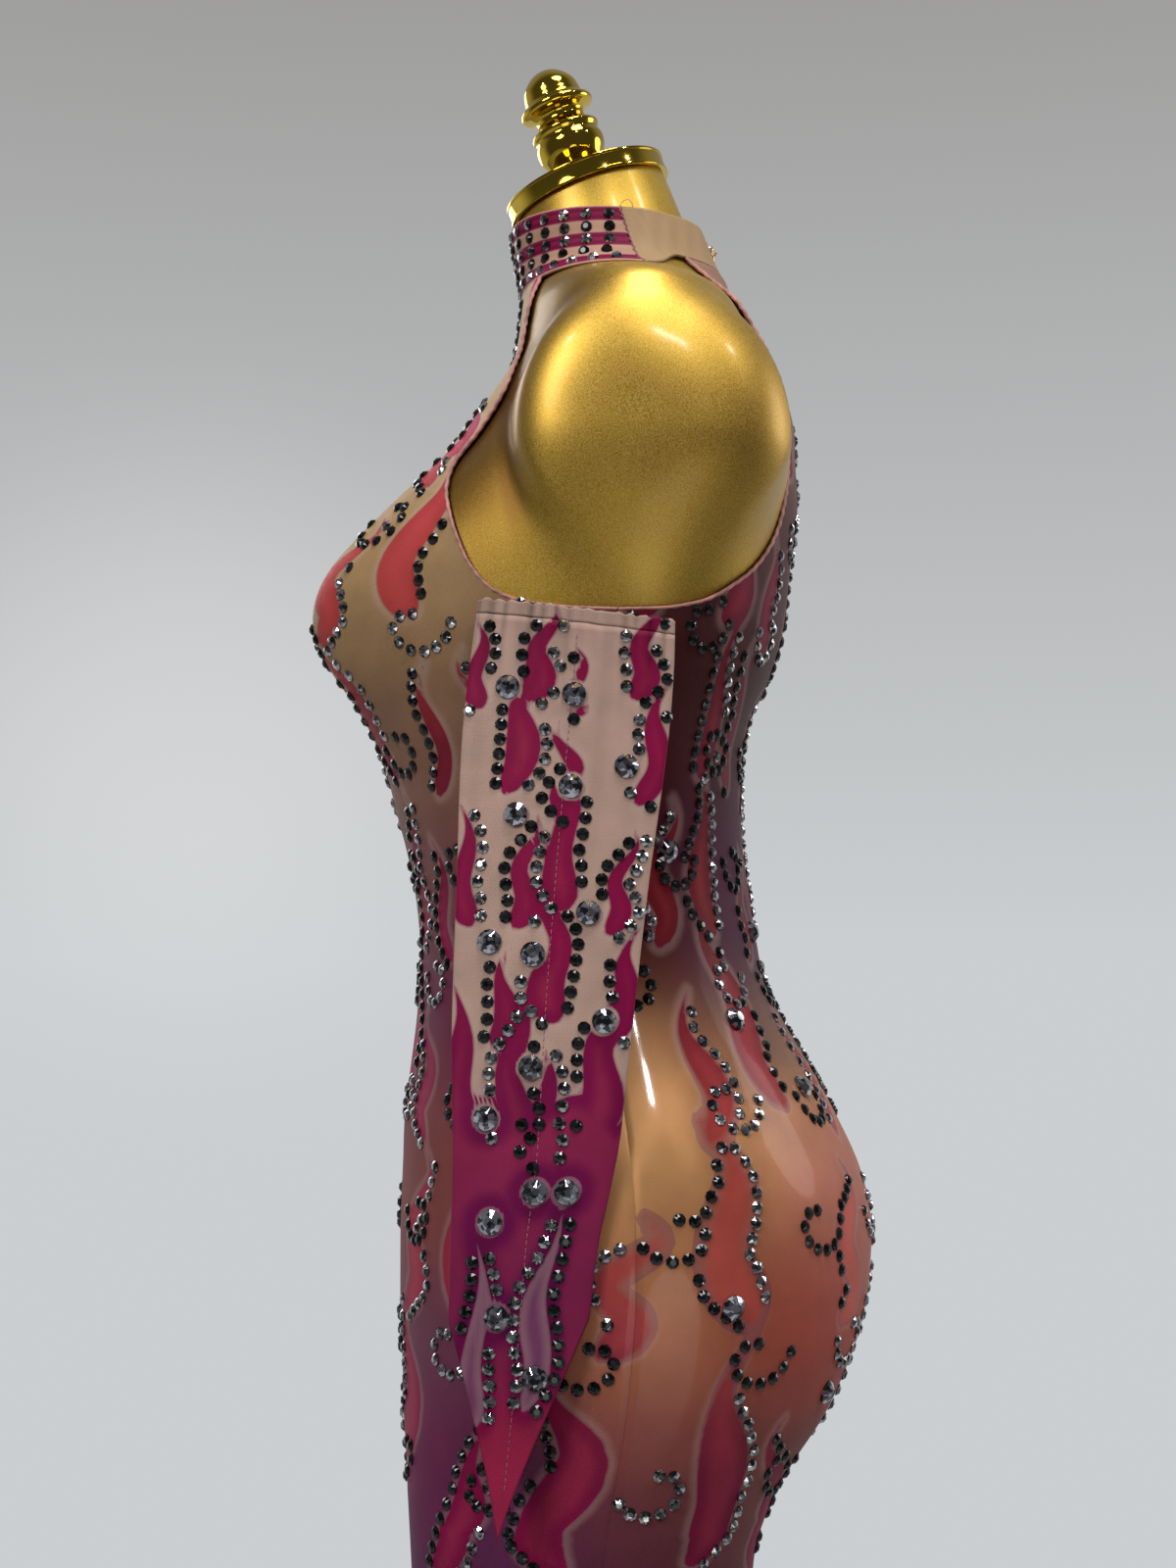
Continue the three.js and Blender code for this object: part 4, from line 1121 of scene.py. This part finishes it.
def sleevePoint(height, turn, inset=0.0):
    # A flat tube: y goes with the sine of turn, x with its cosine; the outer face is gathered
    # at the top and has faint long ridges below.
    c = sleeveCut
    across = np.sin(turn)
    centre, half = sleeveCol("centre", height), sleeveCol("half", height)
    y = centre + (half - inset) * across
    top = c["top"] + c["slope"] * (y - centre)
    fade = np.maximum(0, 1 - (top - height) / c["gatherFade"]) ** 2
    wave = c["gatherDepth"] * fade * (1 + np.sin(c["gathers"] * math.pi * across))
    wave = wave + c["pleatDepth"] * fade * fade * pleatWave(turn)
    long = np.maximum(0, 1 - (top - height) / c["ridgeReach"]) * c["ridgeDepth"]
    wave = wave + long * (1 + ridgeWave(height, turn)) * 0.5
    face = np.maximum(np.cos(turn), 0) ** 0.5
    flat = np.sign(np.cos(turn)) * np.abs(np.cos(turn)) ** 0.7
    bow = np.where(across < 0, c["bowFront"], c["bowBack"])
    curl = c["curl"] * smoothStep(c["curlFrom"], c["tip"], height)
    x = sleeveCol("out", height) + (c["halfThick"] - inset) * flat - bow * across ** 2 + wave * face + curl
    return np.stack([x, y, height + 0 * y], -1)


def sleeveFrame(height, turn, step):
    # Place and outward direction on the sleeve: the cross product of two small steps.
    around = sleevePoint(height, turn + step) - sleevePoint(height, turn - step)
    up = sleevePoint(height + 0.5, turn) - sleevePoint(height - 0.5, turn)
    return sleevePoint(height, turn), np.cross(around, up)


def sleeveTop(turn):
    return sleeveCut["top"] + sleeveCut["slope"] * sleeveCol("half", np.array(1268.0)) * np.sin(turn)


def pleatShade(height, turn):
    # Painted shade: the cloth is darker in the valleys of the pleats and the long ridges, by one less a
    # share of a narrow sine, which fades with the depth under the top.
    c = sleeveCut
    down = np.maximum(sleeveTop(turn) - height, 0)
    near = np.maximum(0, 1 - down / c["pleatReach"]) ** 1.5
    valley = (0.5 - 0.5 * pleatWave(turn)) ** 4
    broad = (0.5 - 0.5 * ridgeWave(height, turn)) ** 3
    long = np.maximum(0, 1 - down / c["ridgeReach"])
    return 1 - c["pleatShade"] * near * valley - c["ridgeShade"] * long * broad


def sleeveEnd(turn):
    # The hand end: a point on the outer face, straight at the wrist inside.
    point = sleeveCut["tip"] + (sleeveCut["wrist"] - sleeveCut["tip"]) * np.abs(np.sin(turn)) ** 0.9
    return np.where(np.cos(turn) <= 0, sleeveCut["wrist"], point)


sleeveLook = {  # screen colours, and the heights between which one turns into the next
    "nude": (170, 140, 126), "rose": (112, 58, 92), "roseFrom": (1050, 1000),
    "deep": (124, 4, 58), "purple": (98, 6, 66), "purpleFrom": (1120, 940),
    "hand": (130, 6, 60), "handFrom": (930, 860),
    "pool": 1016, "poolWave": 15, "poolPitch": 16,  # the hand is all flame below this wavy line
    "blur": 0.3 * mm,
}


def toneAt(height, first, second, span):
    share = smoothStep(*span, height)[..., None]
    return first * (1 - share) + second * share


def sleeveFields(height, turn):
    look, half = sleeveLook, sleeveCol("half", height)
    across = sleevePoint(height, turn)[..., 1] - sleeveCol("centre", height)
    scaled = across / half * 50
    field = flameField(scaled, height, half / 50, sleeveFlames)
    pool = look["pool"] + look["poolWave"] * np.abs(np.sin(scaled / look["poolPitch"] + 0.2)) - height
    field = np.maximum(field, pool)
    for place, z in largeStones["sleeve"] + largeStones["sleeveMore"]:
        spot = np.hypot(across - place * half, height - z) - largeStones["window"]
        field = np.minimum(field, spot)
    pale = flameField(scaled, height, half / 50, paleFlames)
    ground = toneAt(height, linear(look["nude"]), linear(look["rose"]), look["roseFrom"])
    flame = toneAt(height, linear(look["deep"]), linear(look["purple"]), look["purpleFrom"])
    flame = toneAt(height, flame, linear(look["hand"]), look["handFrom"])
    # Painted shade in the valleys of the pleats darkens both colours of the print.
    shade = pleatShade(height, turn)[..., None]
    return {
        "ground": ground * shade, "fire": flame * shade,
        "edge": np.minimum(field, -pale) * mm,
        "blur": np.full(height.shape, look["blur"]), "sheer": np.zeros(height.shape),
        "cloth": np.stack([np.where(np.cos(turn) < 0, across + 200, across), height], -1) * mm,
    }


def buildSleeves():
    turns = np.linspace(-math.pi, math.pi, 96, endpoint=False)[None, :]
    under = sleeveTop(turns) - sleeveCut["band"]
    bump = sleeveCut["edgeBump"] * pleatWave(turns)
    spans = [
        ("sleeve", "sleeve", under - figure["seamGap"], sleeveEnd(turns), 120),
        ("sleeveBand", "sleeve_band", sleeveTop(turns) + bump, under, 6),
    ]
    for name, node, start, end, rows in spans:
        s = np.linspace(0, 1, rows + 1)[:, None]
        height = start + (end - start) * s
        turn = turns + 0 * height
        outer = sleevePoint(height, turn)
        inner = sleevePoint(height, turn, sleeveCut["wall"])
        faces = quadsOf(rows + 1, turns.shape[1], True)
        count = outer.shape[0] * outer.shape[1]
        ring = np.arange(turns.shape[1])
        after = np.roll(ring, -1)
        rim = np.stack([ring, after, after + count, ring + count], -1)
        lastRow = rim + rows * turns.shape[1]
        fields = sleeveFields(height, turn)
        fields = {key: np.concatenate([value, value]) for key, value in fields.items()}
        for side, flip in sides:
            points = np.concatenate([outer, inner]) * flip * mm
            allFaces = [faces, faces[:, ::-1] + count, rim, lastRow]
            piece = putMesh(f"{name}Cloth_{side}", points, allFaces, [printed], fields)
            facesOut(piece, 1e-7)
            standFor(f"{node}_{side}")
    print("sleeves made")


# Collar
collarLook = {
    "rows": 5, "rowPitch": 7.6, "columnPitch": 12.8, "rowTop": 4.6, "points": 90, "rings": 30,
    "ground": (162, 122, 98), "stripe": (134, 10, 66),
}


def collarFoot(angle):
    rise = smoothStep(math.radians(figure["collarSeam"]), math.radians(40), angle)
    return figure["collarFrontFoot"] + (figure["collarBackFoot"] - figure["collarFrontFoot"]) * rise


def collarPlace(angle, share):
    return figure["collarTop"] + (collarFoot(angle) - figure["collarTop"]) * share


def buildCollar():
    seam = math.radians(figure["collarSeam"])
    slit = halfSeam / figure["neckRadius"]
    half = np.linspace(-math.pi / 2, seam - slit, collarLook["points"])
    share = np.linspace(0, 1, collarLook["rings"])[:, None]
    height = collarPlace(half[None, :], share)
    turned = half[None, :] + 0 * height
    left = levelPoint(height, turned, outerOffset + easeAt(figure["napeTo"], turned))
    grid = np.concatenate([left[:, :0:-1] * mirror, left], axis=1)
    steps = np.linalg.norm(np.diff(grid, axis=1), axis=-1)
    arc = np.concatenate([np.zeros((len(share), 1)), np.cumsum(steps, axis=1)], axis=1)
    arc = arc - arc[:, [collarLook["points"] - 1]]
    depth = figure["collarTop"] - np.concatenate([height[:, :0:-1], height], axis=1)
    row = (depth - collarLook["rowTop"]) / collarLook["rowPitch"]
    stripe = np.cos(row * math.pi) * collarLook["rowPitch"] / 2
    pin = (0.5 + 0.5 * np.cos(row * math.pi * 4))[..., None]
    below = depth > collarLook["rowTop"] + 4.5 * collarLook["rowPitch"]
    fields = {
        "ground": np.broadcast_to(linear(collarLook["ground"]), grid.shape),
        "fire": linear(collarLook["stripe"]) * (0.35 + 0.65 * pin) + 0 * grid,
        "edge": np.where(below, -3, stripe) * mm,
        "blur": np.full(depth.shape, 0.25 * mm), "sheer": np.zeros(depth.shape),
        "cloth": np.stack([arc, depth], -1) * mm,
    }
    band = putMesh("collarBand", grid * mm, [quadsOf(*grid.shape[:2])], [printed], fields)
    finishSheet(band, "collar_band")
    nape = math.pi / 2 - figure["closureGap"] / 2 / 50
    angles = np.linspace(seam + slit, nape, 70)[None, :]
    height = collarPlace(angles, share)
    wrinkle = 0.3 * np.sin(angles * 26 + share * 5) * np.sin(math.pi * share)
    wrinkle = wrinkle + 0.21 * np.sin(angles * 60 - share * 9)
    turned = angles + 0 * height
    strap = levelPoint(height, turned, outerOffset + easeAt(figure["napeTo"], turned) + wrinkle)
    run = np.concatenate([[0], np.cumsum(np.linalg.norm(np.diff(strap[0], axis=0), axis=-1))])
    uv = np.stack(np.broadcast_arrays(run[None, :] + 0 * height, height), -1) * mm
    for side, flip in sides:
        placed = strap * flip * mm
        piece = putMesh(f"collarStrap_{side}", placed, [quadsOf(*strap.shape[:2])], [nude], {"cloth": uv})
        finishSheet(piece, f"collar_strap_{side}")
    print("collar made")


# Rhinestones
largeStones = {
    "sleeve": [(0.05, 1226), (-0.42, 1166), (0.4, 1118), (-0.1, 1044), (0.45, 986), (-0.3, 928)],
    "sleeveMore": [
        (-0.6, 1230), (0.62, 1190), (0.1, 1180), (-0.62, 1104), (0.68, 1066), (-0.15, 1098),
        (-0.6, 1020), (0.05, 986), (-0.48, 972), (0.3, 900),
    ],
    "hip": [(40, 1065), (57, 1030)],  # degrees round the body from the side line, and height
    "hipMore": [(24, 1150), (70, 1110), (-40, 1090), (20, 930), (60, 880)],
    "window": 7.4,  # radius of the pale spot of print round each on the sleeve
    "seat": 0.5,
    "shape": {"radius": 6, "girdle": 1.1, "crown": 3.9, "table": 2.5, "sides": 14},
}
stoneCut = {
    "shape": {"radius": 3.25, "girdle": 0.55, "crown": 1.9, "table": 1.5, "sides": 8},
    "pitch": 7.8, "apart": 6.7,
    "frontTop": 1466, "backTop": 1480,  # no stone lies higher
    "offSeam": 3.4,  # a stone's place keeps this far from the middle of the front and back
}


def stoneShape(radius, girdle, crown, table, sides):
    # Rings at the back, the girdle and the table's edge, with the table's centre last.
    turn = np.arange(sides) * 2 * math.pi / sides
    shift = turn + math.pi / sides
    rings = [
        np.stack([radius * np.cos(turn), radius * np.sin(turn), 0 * turn], -1),
        np.stack([radius * np.cos(turn), radius * np.sin(turn), girdle + 0 * turn], -1),
        np.stack([table * np.cos(shift), table * np.sin(shift), crown + 0 * turn], -1),
    ]
    i = np.arange(sides)
    j = (i + 1) % sides
    skirt = np.stack([i, j, j + sides, i + sides], -1)
    crownDown = np.stack([i + sides, j + sides, i + 2 * sides], -1)
    crownUp = np.stack([j + sides, j + 2 * sides, i + 2 * sides], -1)
    tableFace = (i + 2 * sides)[None, :]
    back = i[::-1][None, :]
    return np.concatenate(rings), [skirt, crownDown, crownUp, tableFace, back]


def putStones(name, places, normals, kinds, shape=None):
    # Copies of one stone in one mesh, each turned to its surface, spun and tipped a little.
    base, faceSets = stoneShape(**(shape or stoneCut["shape"]))
    count = len(places)
    normals = normals / np.linalg.norm(normals, axis=-1, keepdims=True)
    normals = normals + rng.normal(0, 0.045, normals.shape)
    normals = normals / np.linalg.norm(normals, axis=-1, keepdims=True)
    side = np.cross(normals, np.array([0.0, 0.0, 1.0]) + 0.001)
    side = side / np.linalg.norm(side, axis=-1, keepdims=True)
    up = np.cross(normals, side)
    spin = rng.uniform(0, math.pi, count)[:, None]
    a = side * np.cos(spin) + up * np.sin(spin)
    b = np.cross(normals, a)
    points = (
        places[:, None]
        + base[None, :, [0]] * a[:, None] + base[None, :, [1]] * b[:, None]
        + base[None, :, [2]] * normals[:, None]
    )
    faces, which = [], []
    for part in faceSets:
        moved = part[None] + (np.arange(count) * len(base))[:, None, None]
        faces.append(moved.reshape(-1, part.shape[1]))
        which.append(np.repeat(kinds, len(part)))
    which = np.concatenate(which)
    piece = putMesh(name, points * mm, faces, [jet, smoke, clear], smooth=False, which=which)
    return piece


def spaced(points, pitch, scale):
    # Places at even steps along a smooth curve through a few given points.
    points = np.array(points, float)
    if len(points) == 2:
        points = np.array([points[0], points.mean(axis=0), points[1]])
    keys = np.arange(len(points), dtype=float)
    t = np.linspace(0, keys[-1], 40 * len(points))
    line = np.stack([along(keys, points[:, 0], t), along(keys, points[:, 1], t)], -1)
    step = np.diff(line, axis=0)
    step[:, 0] = step[:, 0] * scale(line[1:, 0], line[1:, 1])
    run = np.concatenate([[0], np.cumsum(np.hypot(step[:, 0], step[:, 1]))])
    count = max(round(run[-1] / pitch), 1)
    at = np.linspace(0, run[-1], count + 1)
    return np.stack([np.interp(at, run, line[:, 0]), np.interp(at, run, line[:, 1])], -1)


def rowsBeside(flames, scale, kinds, apartFrom=3.4):
    # Lines of stones beside flames: along their outline on one or both sides.
    found = []
    for i, row in enumerate(flames):
        x, z, radius = strokeOf(row)
        for way in kinds[i % len(kinds)]:
            side = -1 if way < 0 else 1
            factor = scale(x, z)
            dx, dz = np.gradient(x) * factor, np.gradient(z)
            length = np.hypot(dx, dz) + 1e-9
            shift = radius + apartFrom
            line = np.stack([x - side * dz / length * shift / factor, z + side * dx / length * shift], -1)
            found.append((0 if abs(way) == 1 else 1, spaced(line[::3], stoneCut["pitch"], scale)))
    return found


def thinned(lines, scale, apart):
    # Leaves out each stone that would lie on one already set.
    kept, kinds = [], []
    for kind, line in lines:
        for x, z in line:
            if kept:
                done = np.array(kept)
                factor = float(scale(np.array([x]), np.array([z]))[0])
                if np.min(np.hypot((done[:, 0] - x) * factor, done[:, 1] - z)) < apart:
                    continue
            kept.append((x, z))
            kinds.append(kind)
    return np.array(kept), np.array(kinds)


# Rows of stones set free of the flames: their kind, 0 jet or 1 smoke, with across and height
hooks = {  # rows of stones bent like hooks, staggered over the body
    "top": 1446, "foot": 790, "pitch": 60, "across": 6, "size": 17, "turn": 1.5, "start": 0.35,
}


def hookRows():
    # Each is a spiral: its radius grows as it turns. Neighbours turn opposite ways.
    rows = []
    heights = np.arange(hooks["top"], hooks["foot"], -hooks["pitch"])
    t = np.linspace(0, 1, 9)
    radius = hooks["size"] * (hooks["start"] + (1 - hooks["start"]) * t)
    for tier, height in enumerate(heights):
        for i in range(hooks["across"]):
            way = 1 if (i + tier) % 2 else -1
            across = -200 + 400 / hooks["across"] * (i + 0.25 + 0.5 * (tier % 2))
            x = across + way * radius * np.sin(math.pi * hooks["turn"] * t)
            z = height + radius * np.cos(math.pi * hooks["turn"] * t)
            rows.append(((i + tier) % 3 % 2, list(zip(x, z))))
    return rows


legRowsOfStones = [
    (kind, [(x, 700), (x + 8, 640), (x - 8, 570), (x + 6, 500), (x - 6, 430)])
    for kind, x in ((0, -190), (1, -120), (0, -62), (1, 4), (0, 60), (1, 122), (0, 188))
] + [
    (kind, [(x, 330), (x + 8, 270), (x - 8, 200), (x + 6, 130), (x - 4, 66)])
    for kind, x in ((1, -186), (0, -136), (1, -76), (0, -12), (1, 52), (0, 116), (1, 176))
]


def stonePlaces(rows, beside, scale):
    # Stones along free rows and beside flames, without those that would overlap.
    placed = [(kind, spaced(points, stoneCut["pitch"], scale)) for kind, points in rows]
    for flames, ways in beside:
        placed += rowsBeside(flames, scale, ways)
    return thinned(placed, scale, stoneCut["apart"])


def putBothSides(name, here, normal, kinds):
    for side, flip in sides:
        putStones(f"{name}_{side}", here * flip, normal * flip, kinds)


def bodyScale(x, z):
    return halfWidth(np.asarray(z, float), np.asarray(x) > 0) / 200


def sleeveScale(x, z):
    return sleeveCol("half", np.asarray(z, float)) / 50 + 0 * np.asarray(x, float)


def bodyFrame(height, angle):
    # Place and outward normal on the cloth: the cross product of two small steps.
    ease = outerOffset + easeAt(height, angle) + 0.1
    here = bodyPoint(height, angle, ease)
    around = bodyPoint(height, angle + 0.01, ease) - bodyPoint(height, angle - 0.01, ease)
    up = bodyPoint(height + 0.8, angle, ease) - bodyPoint(height - 0.8, angle, ease)
    return here, np.cross(around, up)


def edgeRoom(height, y):
    # True where the cloth is: outside the armhole, clear of its edge by a stone's width.
    fronts, backs = np.array(armhole["front"], float), np.array(armhole["back"], float)
    frontY = np.interp(height, fronts[:, 0], fronts[:, 1])
    backY = np.interp(height, backs[:, 0], backs[:, 1])
    bare = (height > figure["underarm"] - 2) & (y > frontY - 4.5) & (y < backY + 4.5)
    return ~bare


def buildBodyStones():
    beside = [(bodyFlames, [(-1,), (2,), (-2, 1), (1,), (-2,)])]
    places, kinds = stonePlaces(hookRows(), beside, bodyScale)
    across, height = np.abs(places[:, 0]), places[:, 1]
    top = np.where(places[:, 0] < 0, stoneCut["frontTop"], stoneCut["backTop"])
    inside = (across < 198.5) & (across > 1.5) & (height <= top) & (height > figure["thighEnd"] + 5)
    places, kinds = places[inside], kinds[inside]
    height, share = places[:, 1], places[:, 0] / 200
    angle = angleOfShare(height, share)
    here, normal = bodyFrame(height, angle)
    room = edgeRoom(height, here[:, 1]) & (here[:, 0] > stoneCut["offSeam"])
    for front in (True, False):
        chosen = room & ((share < 0) == front)
        name = "stones_front" if front else "stones_back"
        putBothSides(name, here[chosen], normal[chosen], kinds[chosen])
    print("body stones", int(room.sum()))


def buildLegStones():
    beside = [(legFlames, [(2,), (-2,), (1,)])]
    places, kinds = stonePlaces(legRowsOfStones, beside, bodyScale)
    inside = (np.abs(places[:, 0]) < 196) & (places[:, 1] < figure["thighEnd"] - 6)
    inside &= (places[:, 1] > figure["hem"] + 5) & (np.abs(places[:, 0]) > 1.5)
    places, kinds = places[inside], kinds[inside]
    height, share = places[:, 1], places[:, 0] / 200
    here, normal = bodyFrame(height, angleOfShare(height, share))
    putBothSides("stones_leg", here, normal, kinds)
    print("leg stones", len(here))


def buildSleeveStones():
    beside = [(sleeveFlames, [(-1, 2), (-2, 1), (1, 2)]), (paleFlames, [(-2, 1), (-1, 2)])]
    places, kinds = stonePlaces([], beside, sleeveScale)
    inside = (np.abs(places[:, 0]) < 48) & (places[:, 1] < 1262)
    inside &= places[:, 1] > sleeveEnd(np.arcsin(np.clip(places[:, 0] / 50, -1, 1))) + 7
    for across, z in largeStones["sleeve"] + largeStones["sleeveMore"]:
        inside &= np.hypot(places[:, 0] - across * 50, places[:, 1] - z) > 9.8
    places, kinds = places[inside], kinds[inside]
    turn = np.arcsin(places[:, 0] / 50)
    height = places[:, 1]
    here, normal = sleeveFrame(height, turn, 0.01)
    putBothSides("stones_sleeve", here, normal, kinds)
    print("sleeve stones", len(here))


def buildCollarStones():
    seam = math.radians(figure["collarSeam"])
    fine = np.linspace(-math.pi / 2, seam, 400)
    places, normals, kinds = [], [], []
    for row in range(collarLook["rows"]):
        height = figure["collarTop"] - collarLook["rowTop"] - row * collarLook["rowPitch"]
        ring = levelPoint(height + 0 * fine, fine, outerOffset + 0.1)
        arc = np.concatenate([[0], np.cumsum(np.linalg.norm(np.diff(ring, axis=0), axis=-1))])
        at = np.arange(collarLook["columnPitch"] / 2, arc[-1] - 3.6, collarLook["columnPitch"])
        angle = np.interp(at, arc, fine)
        here = levelPoint(height + 0 * angle, angle, outerOffset + 0.1)
        normal = levelPoint(height + 0 * angle, angle, outerOffset + 5) - here
        normal[:, 2] = 0
        for _, flip in sides:
            places.append(here * flip)
            normals.append(normal * flip)
            kinds.append(np.full(len(at), 0 if row in (1, 3) else 1))
    putStones("stones_collar", np.concatenate(places), np.concatenate(normals), np.concatenate(kinds))
    print("collar stones", sum(len(k) for k in kinds))


def buildLargeStones():
    # Each is set where the frame has its solid: at the seat along the surface's normal.
    for i, (across, height) in enumerate(largeStones["sleeve"]):
        turn = np.array([math.asin(across)])
        z = np.array([float(height)])
        putLargeStone(f"sleeve_stone_{i + 1}", f"sleeveStone{i + 1}", *sleeveFrame(z, turn, 0.05))
    for i, (around, height) in enumerate(largeStones["hip"]):
        here, normal = bodyFrame(np.array([float(height)]), np.array([math.radians(around)]))
        putLargeStone(f"hip_stone_{i + 1}", f"hipStone{i + 1}", here, normal)
    onSleeve = np.array(largeStones["sleeveMore"], float)
    onBody = np.array(largeStones["hipMore"], float)
    rows = [
        ("sleeve", sleeveFrame(onSleeve[:, 1], np.arcsin(onSleeve[:, 0]), 0.05)),
        ("body", bodyFrame(onBody[:, 1], np.radians(onBody[:, 0]))),
    ]
    for side, flip in sides:
        for name, (here, normal) in rows:
            kinds = np.full(len(here), 2)
            putStones(f"{name}LargeStones_{side}", here * flip, normal * flip, kinds, largeStones["shape"])
    print("large stones made")


def putLargeStone(node, name, here, normal):
    for side, flip in sides:
        seat = here + normal / np.linalg.norm(normal) * largeStones["seat"]
        kinds = np.array([2])
        piece = putStones(f"{name}_{side}", seat * flip, normal * flip, kinds, largeStones["shape"])
        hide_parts(f"{node}_{side}")


# Threads: stitches, seams and the armhole's binding
trimLook = {
    "thread": 0.22, "zigzag": {"wide": 1.7, "pitch": 1.7}, "stitch": 2.3, "stitchPitch": 3.4,
    "binding": {"radius": 1.0, "pucker": 0.28, "waves": 46, "points": 260, "sunk": 0.6},
    "stitchRadius": 0.16, "stitchTop": 1256, "stitchFoot": 850, "stitchTurn": 0.03,
    "fray": [(0, 0, 0), (1.5, 0.8, 2.4), (4.2, 1.6, 3.6), (6.2, 2.6, 2.2), (7.4, 3.0, -1.6)],
}


def tubeAlong(points, radius, around=6):
    # A closed tube: rings stand across the line, on its step and the steady side direction.
    points = np.asarray(points, float)
    step = np.gradient(points, axis=0)
    step = step / (np.linalg.norm(step, axis=1, keepdims=True) + 1e-12)
    side = np.cross(step, np.array([0.31, 0.17, 0.93]))
    side = side / (np.linalg.norm(side, axis=1, keepdims=True) + 1e-12)
    up = np.cross(step, side)
    turn = np.linspace(0, 2 * math.pi, around, endpoint=False)[None, :, None]
    size = np.broadcast_to(radius, len(points))[:, None, None]
    rings = points[:, None] + size * (np.cos(turn) * side[:, None] + np.sin(turn) * up[:, None])
    ends = [np.repeat(points[[k]], around, axis=0)[None] for k in (0, -1)]
    return np.concatenate([ends[0], rings, ends[1]])


def putThreads(name, lines, radius, material):
    # Many tubes in one mesh.
    points, faces, base = [], [], 0
    for line in lines:
        grid = tubeAlong(line, radius)
        points.append(grid.reshape(-1, 3))
        faces.append(quadsOf(grid.shape[0], grid.shape[1], True) + base)
        base += len(points[-1])
    piece = putMesh(name, np.concatenate(points) * mm, faces, [material])
    facesOut(piece, 1e-6)
    return piece


def armholeLine(side):
    # The edge of the panel at the armhole, from the collar down to the side seam.
    table, run = armholeRun(side)
    look = trimLook["binding"]
    at = np.linspace(0, run[-1], look["points"])
    z, y = along(run, table[:, 0], at), along(run, table[:, 1], at)
    angle = angleOfY(z, y, *faceTurns[side], outerOffset)
    wave = look["pucker"] * np.sin(np.linspace(0, 2 * math.pi * look["waves"], look["points"]))
    return bodyPoint(z, angle, outerOffset - look["sunk"] + wave + easeAt(z, angle))


def buildTrims():
    edge = trimLook["binding"]["radius"]
    seam = math.radians(figure["collarSeam"])
    for side, flip in sides:
        for part in ("front", "back"):
            line = [armholeLine(part) * flip]
            putThreads(f"{part}Binding_{side}", line, edge, bindingCloth)
        zig = trimLook["zigzag"]
        count = int((figure["collarTop"] - figure["collarFrontFoot"]) / zig["pitch"])
        heights = figure["collarTop"] - 1 - zig["pitch"] * np.arange(count)
        angles = seam + np.where(np.arange(count) % 2 == 0, 1, -1) * zig["wide"] / 2 / figure["neckRadius"]
        corners = levelPoint(heights, angles, outerOffset + 0.35)
        steps = np.linspace(0, count - 1, count * 4)
        line = np.stack([np.interp(steps, np.arange(count), corners[:, k]) for k in range(3)], -1)
        top = np.array([figure["collarTop"] - 0.6])
        corner = levelPoint(top, np.array([seam]), outerOffset + 0.4)[0]
        fray = np.array(trimLook["fray"])
        keys = np.arange(len(fray), dtype=float)
        fine = np.linspace(0, keys[-1], 30)
        loose = np.stack([along(keys, fray[:, k], fine) for k in (1, 0, 2)], -1) + corner
        both = [line * flip, loose * flip]
        putThreads(f"collarZigzag_{side}", both, trimLook["thread"], thread)
        tops = np.arange(trimLook["stitchTop"], trimLook["stitchFoot"], -trimLook["stitchPitch"])
        lines = []
        for top in tops:
            s = np.linspace(0, 1, 6)
            z = top - trimLook["stitch"] * s
            out = 0.1 + 0.25 * np.sin(math.pi * s)
            place = sleevePoint(z, np.full(6, trimLook["stitchTurn"]))
            lines.append((place + np.stack([out, 0 * s, 0 * s], -1)) * flip)
        putThreads(f"sleeveStitches_{side}", lines, trimLook["stitchRadius"], thread)
    print("trims made")


def dressNodes():
    # The hook and the bar keep the frame's shape and get their finish.
    for name in ("collar_hook", "collar_bar"):
        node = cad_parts[name]
        node.data.materials.clear()
        node.data.materials.append(wireMetal)


buildStudio()
buildForm()
buildHead()
buildStand()
buildPanels()
buildSleeves()
buildCollar()
buildBodyStones()
buildLegStones()
buildSleeveStones()
buildCollarStones()
buildLargeStones()
buildTrims()
dressNodes()
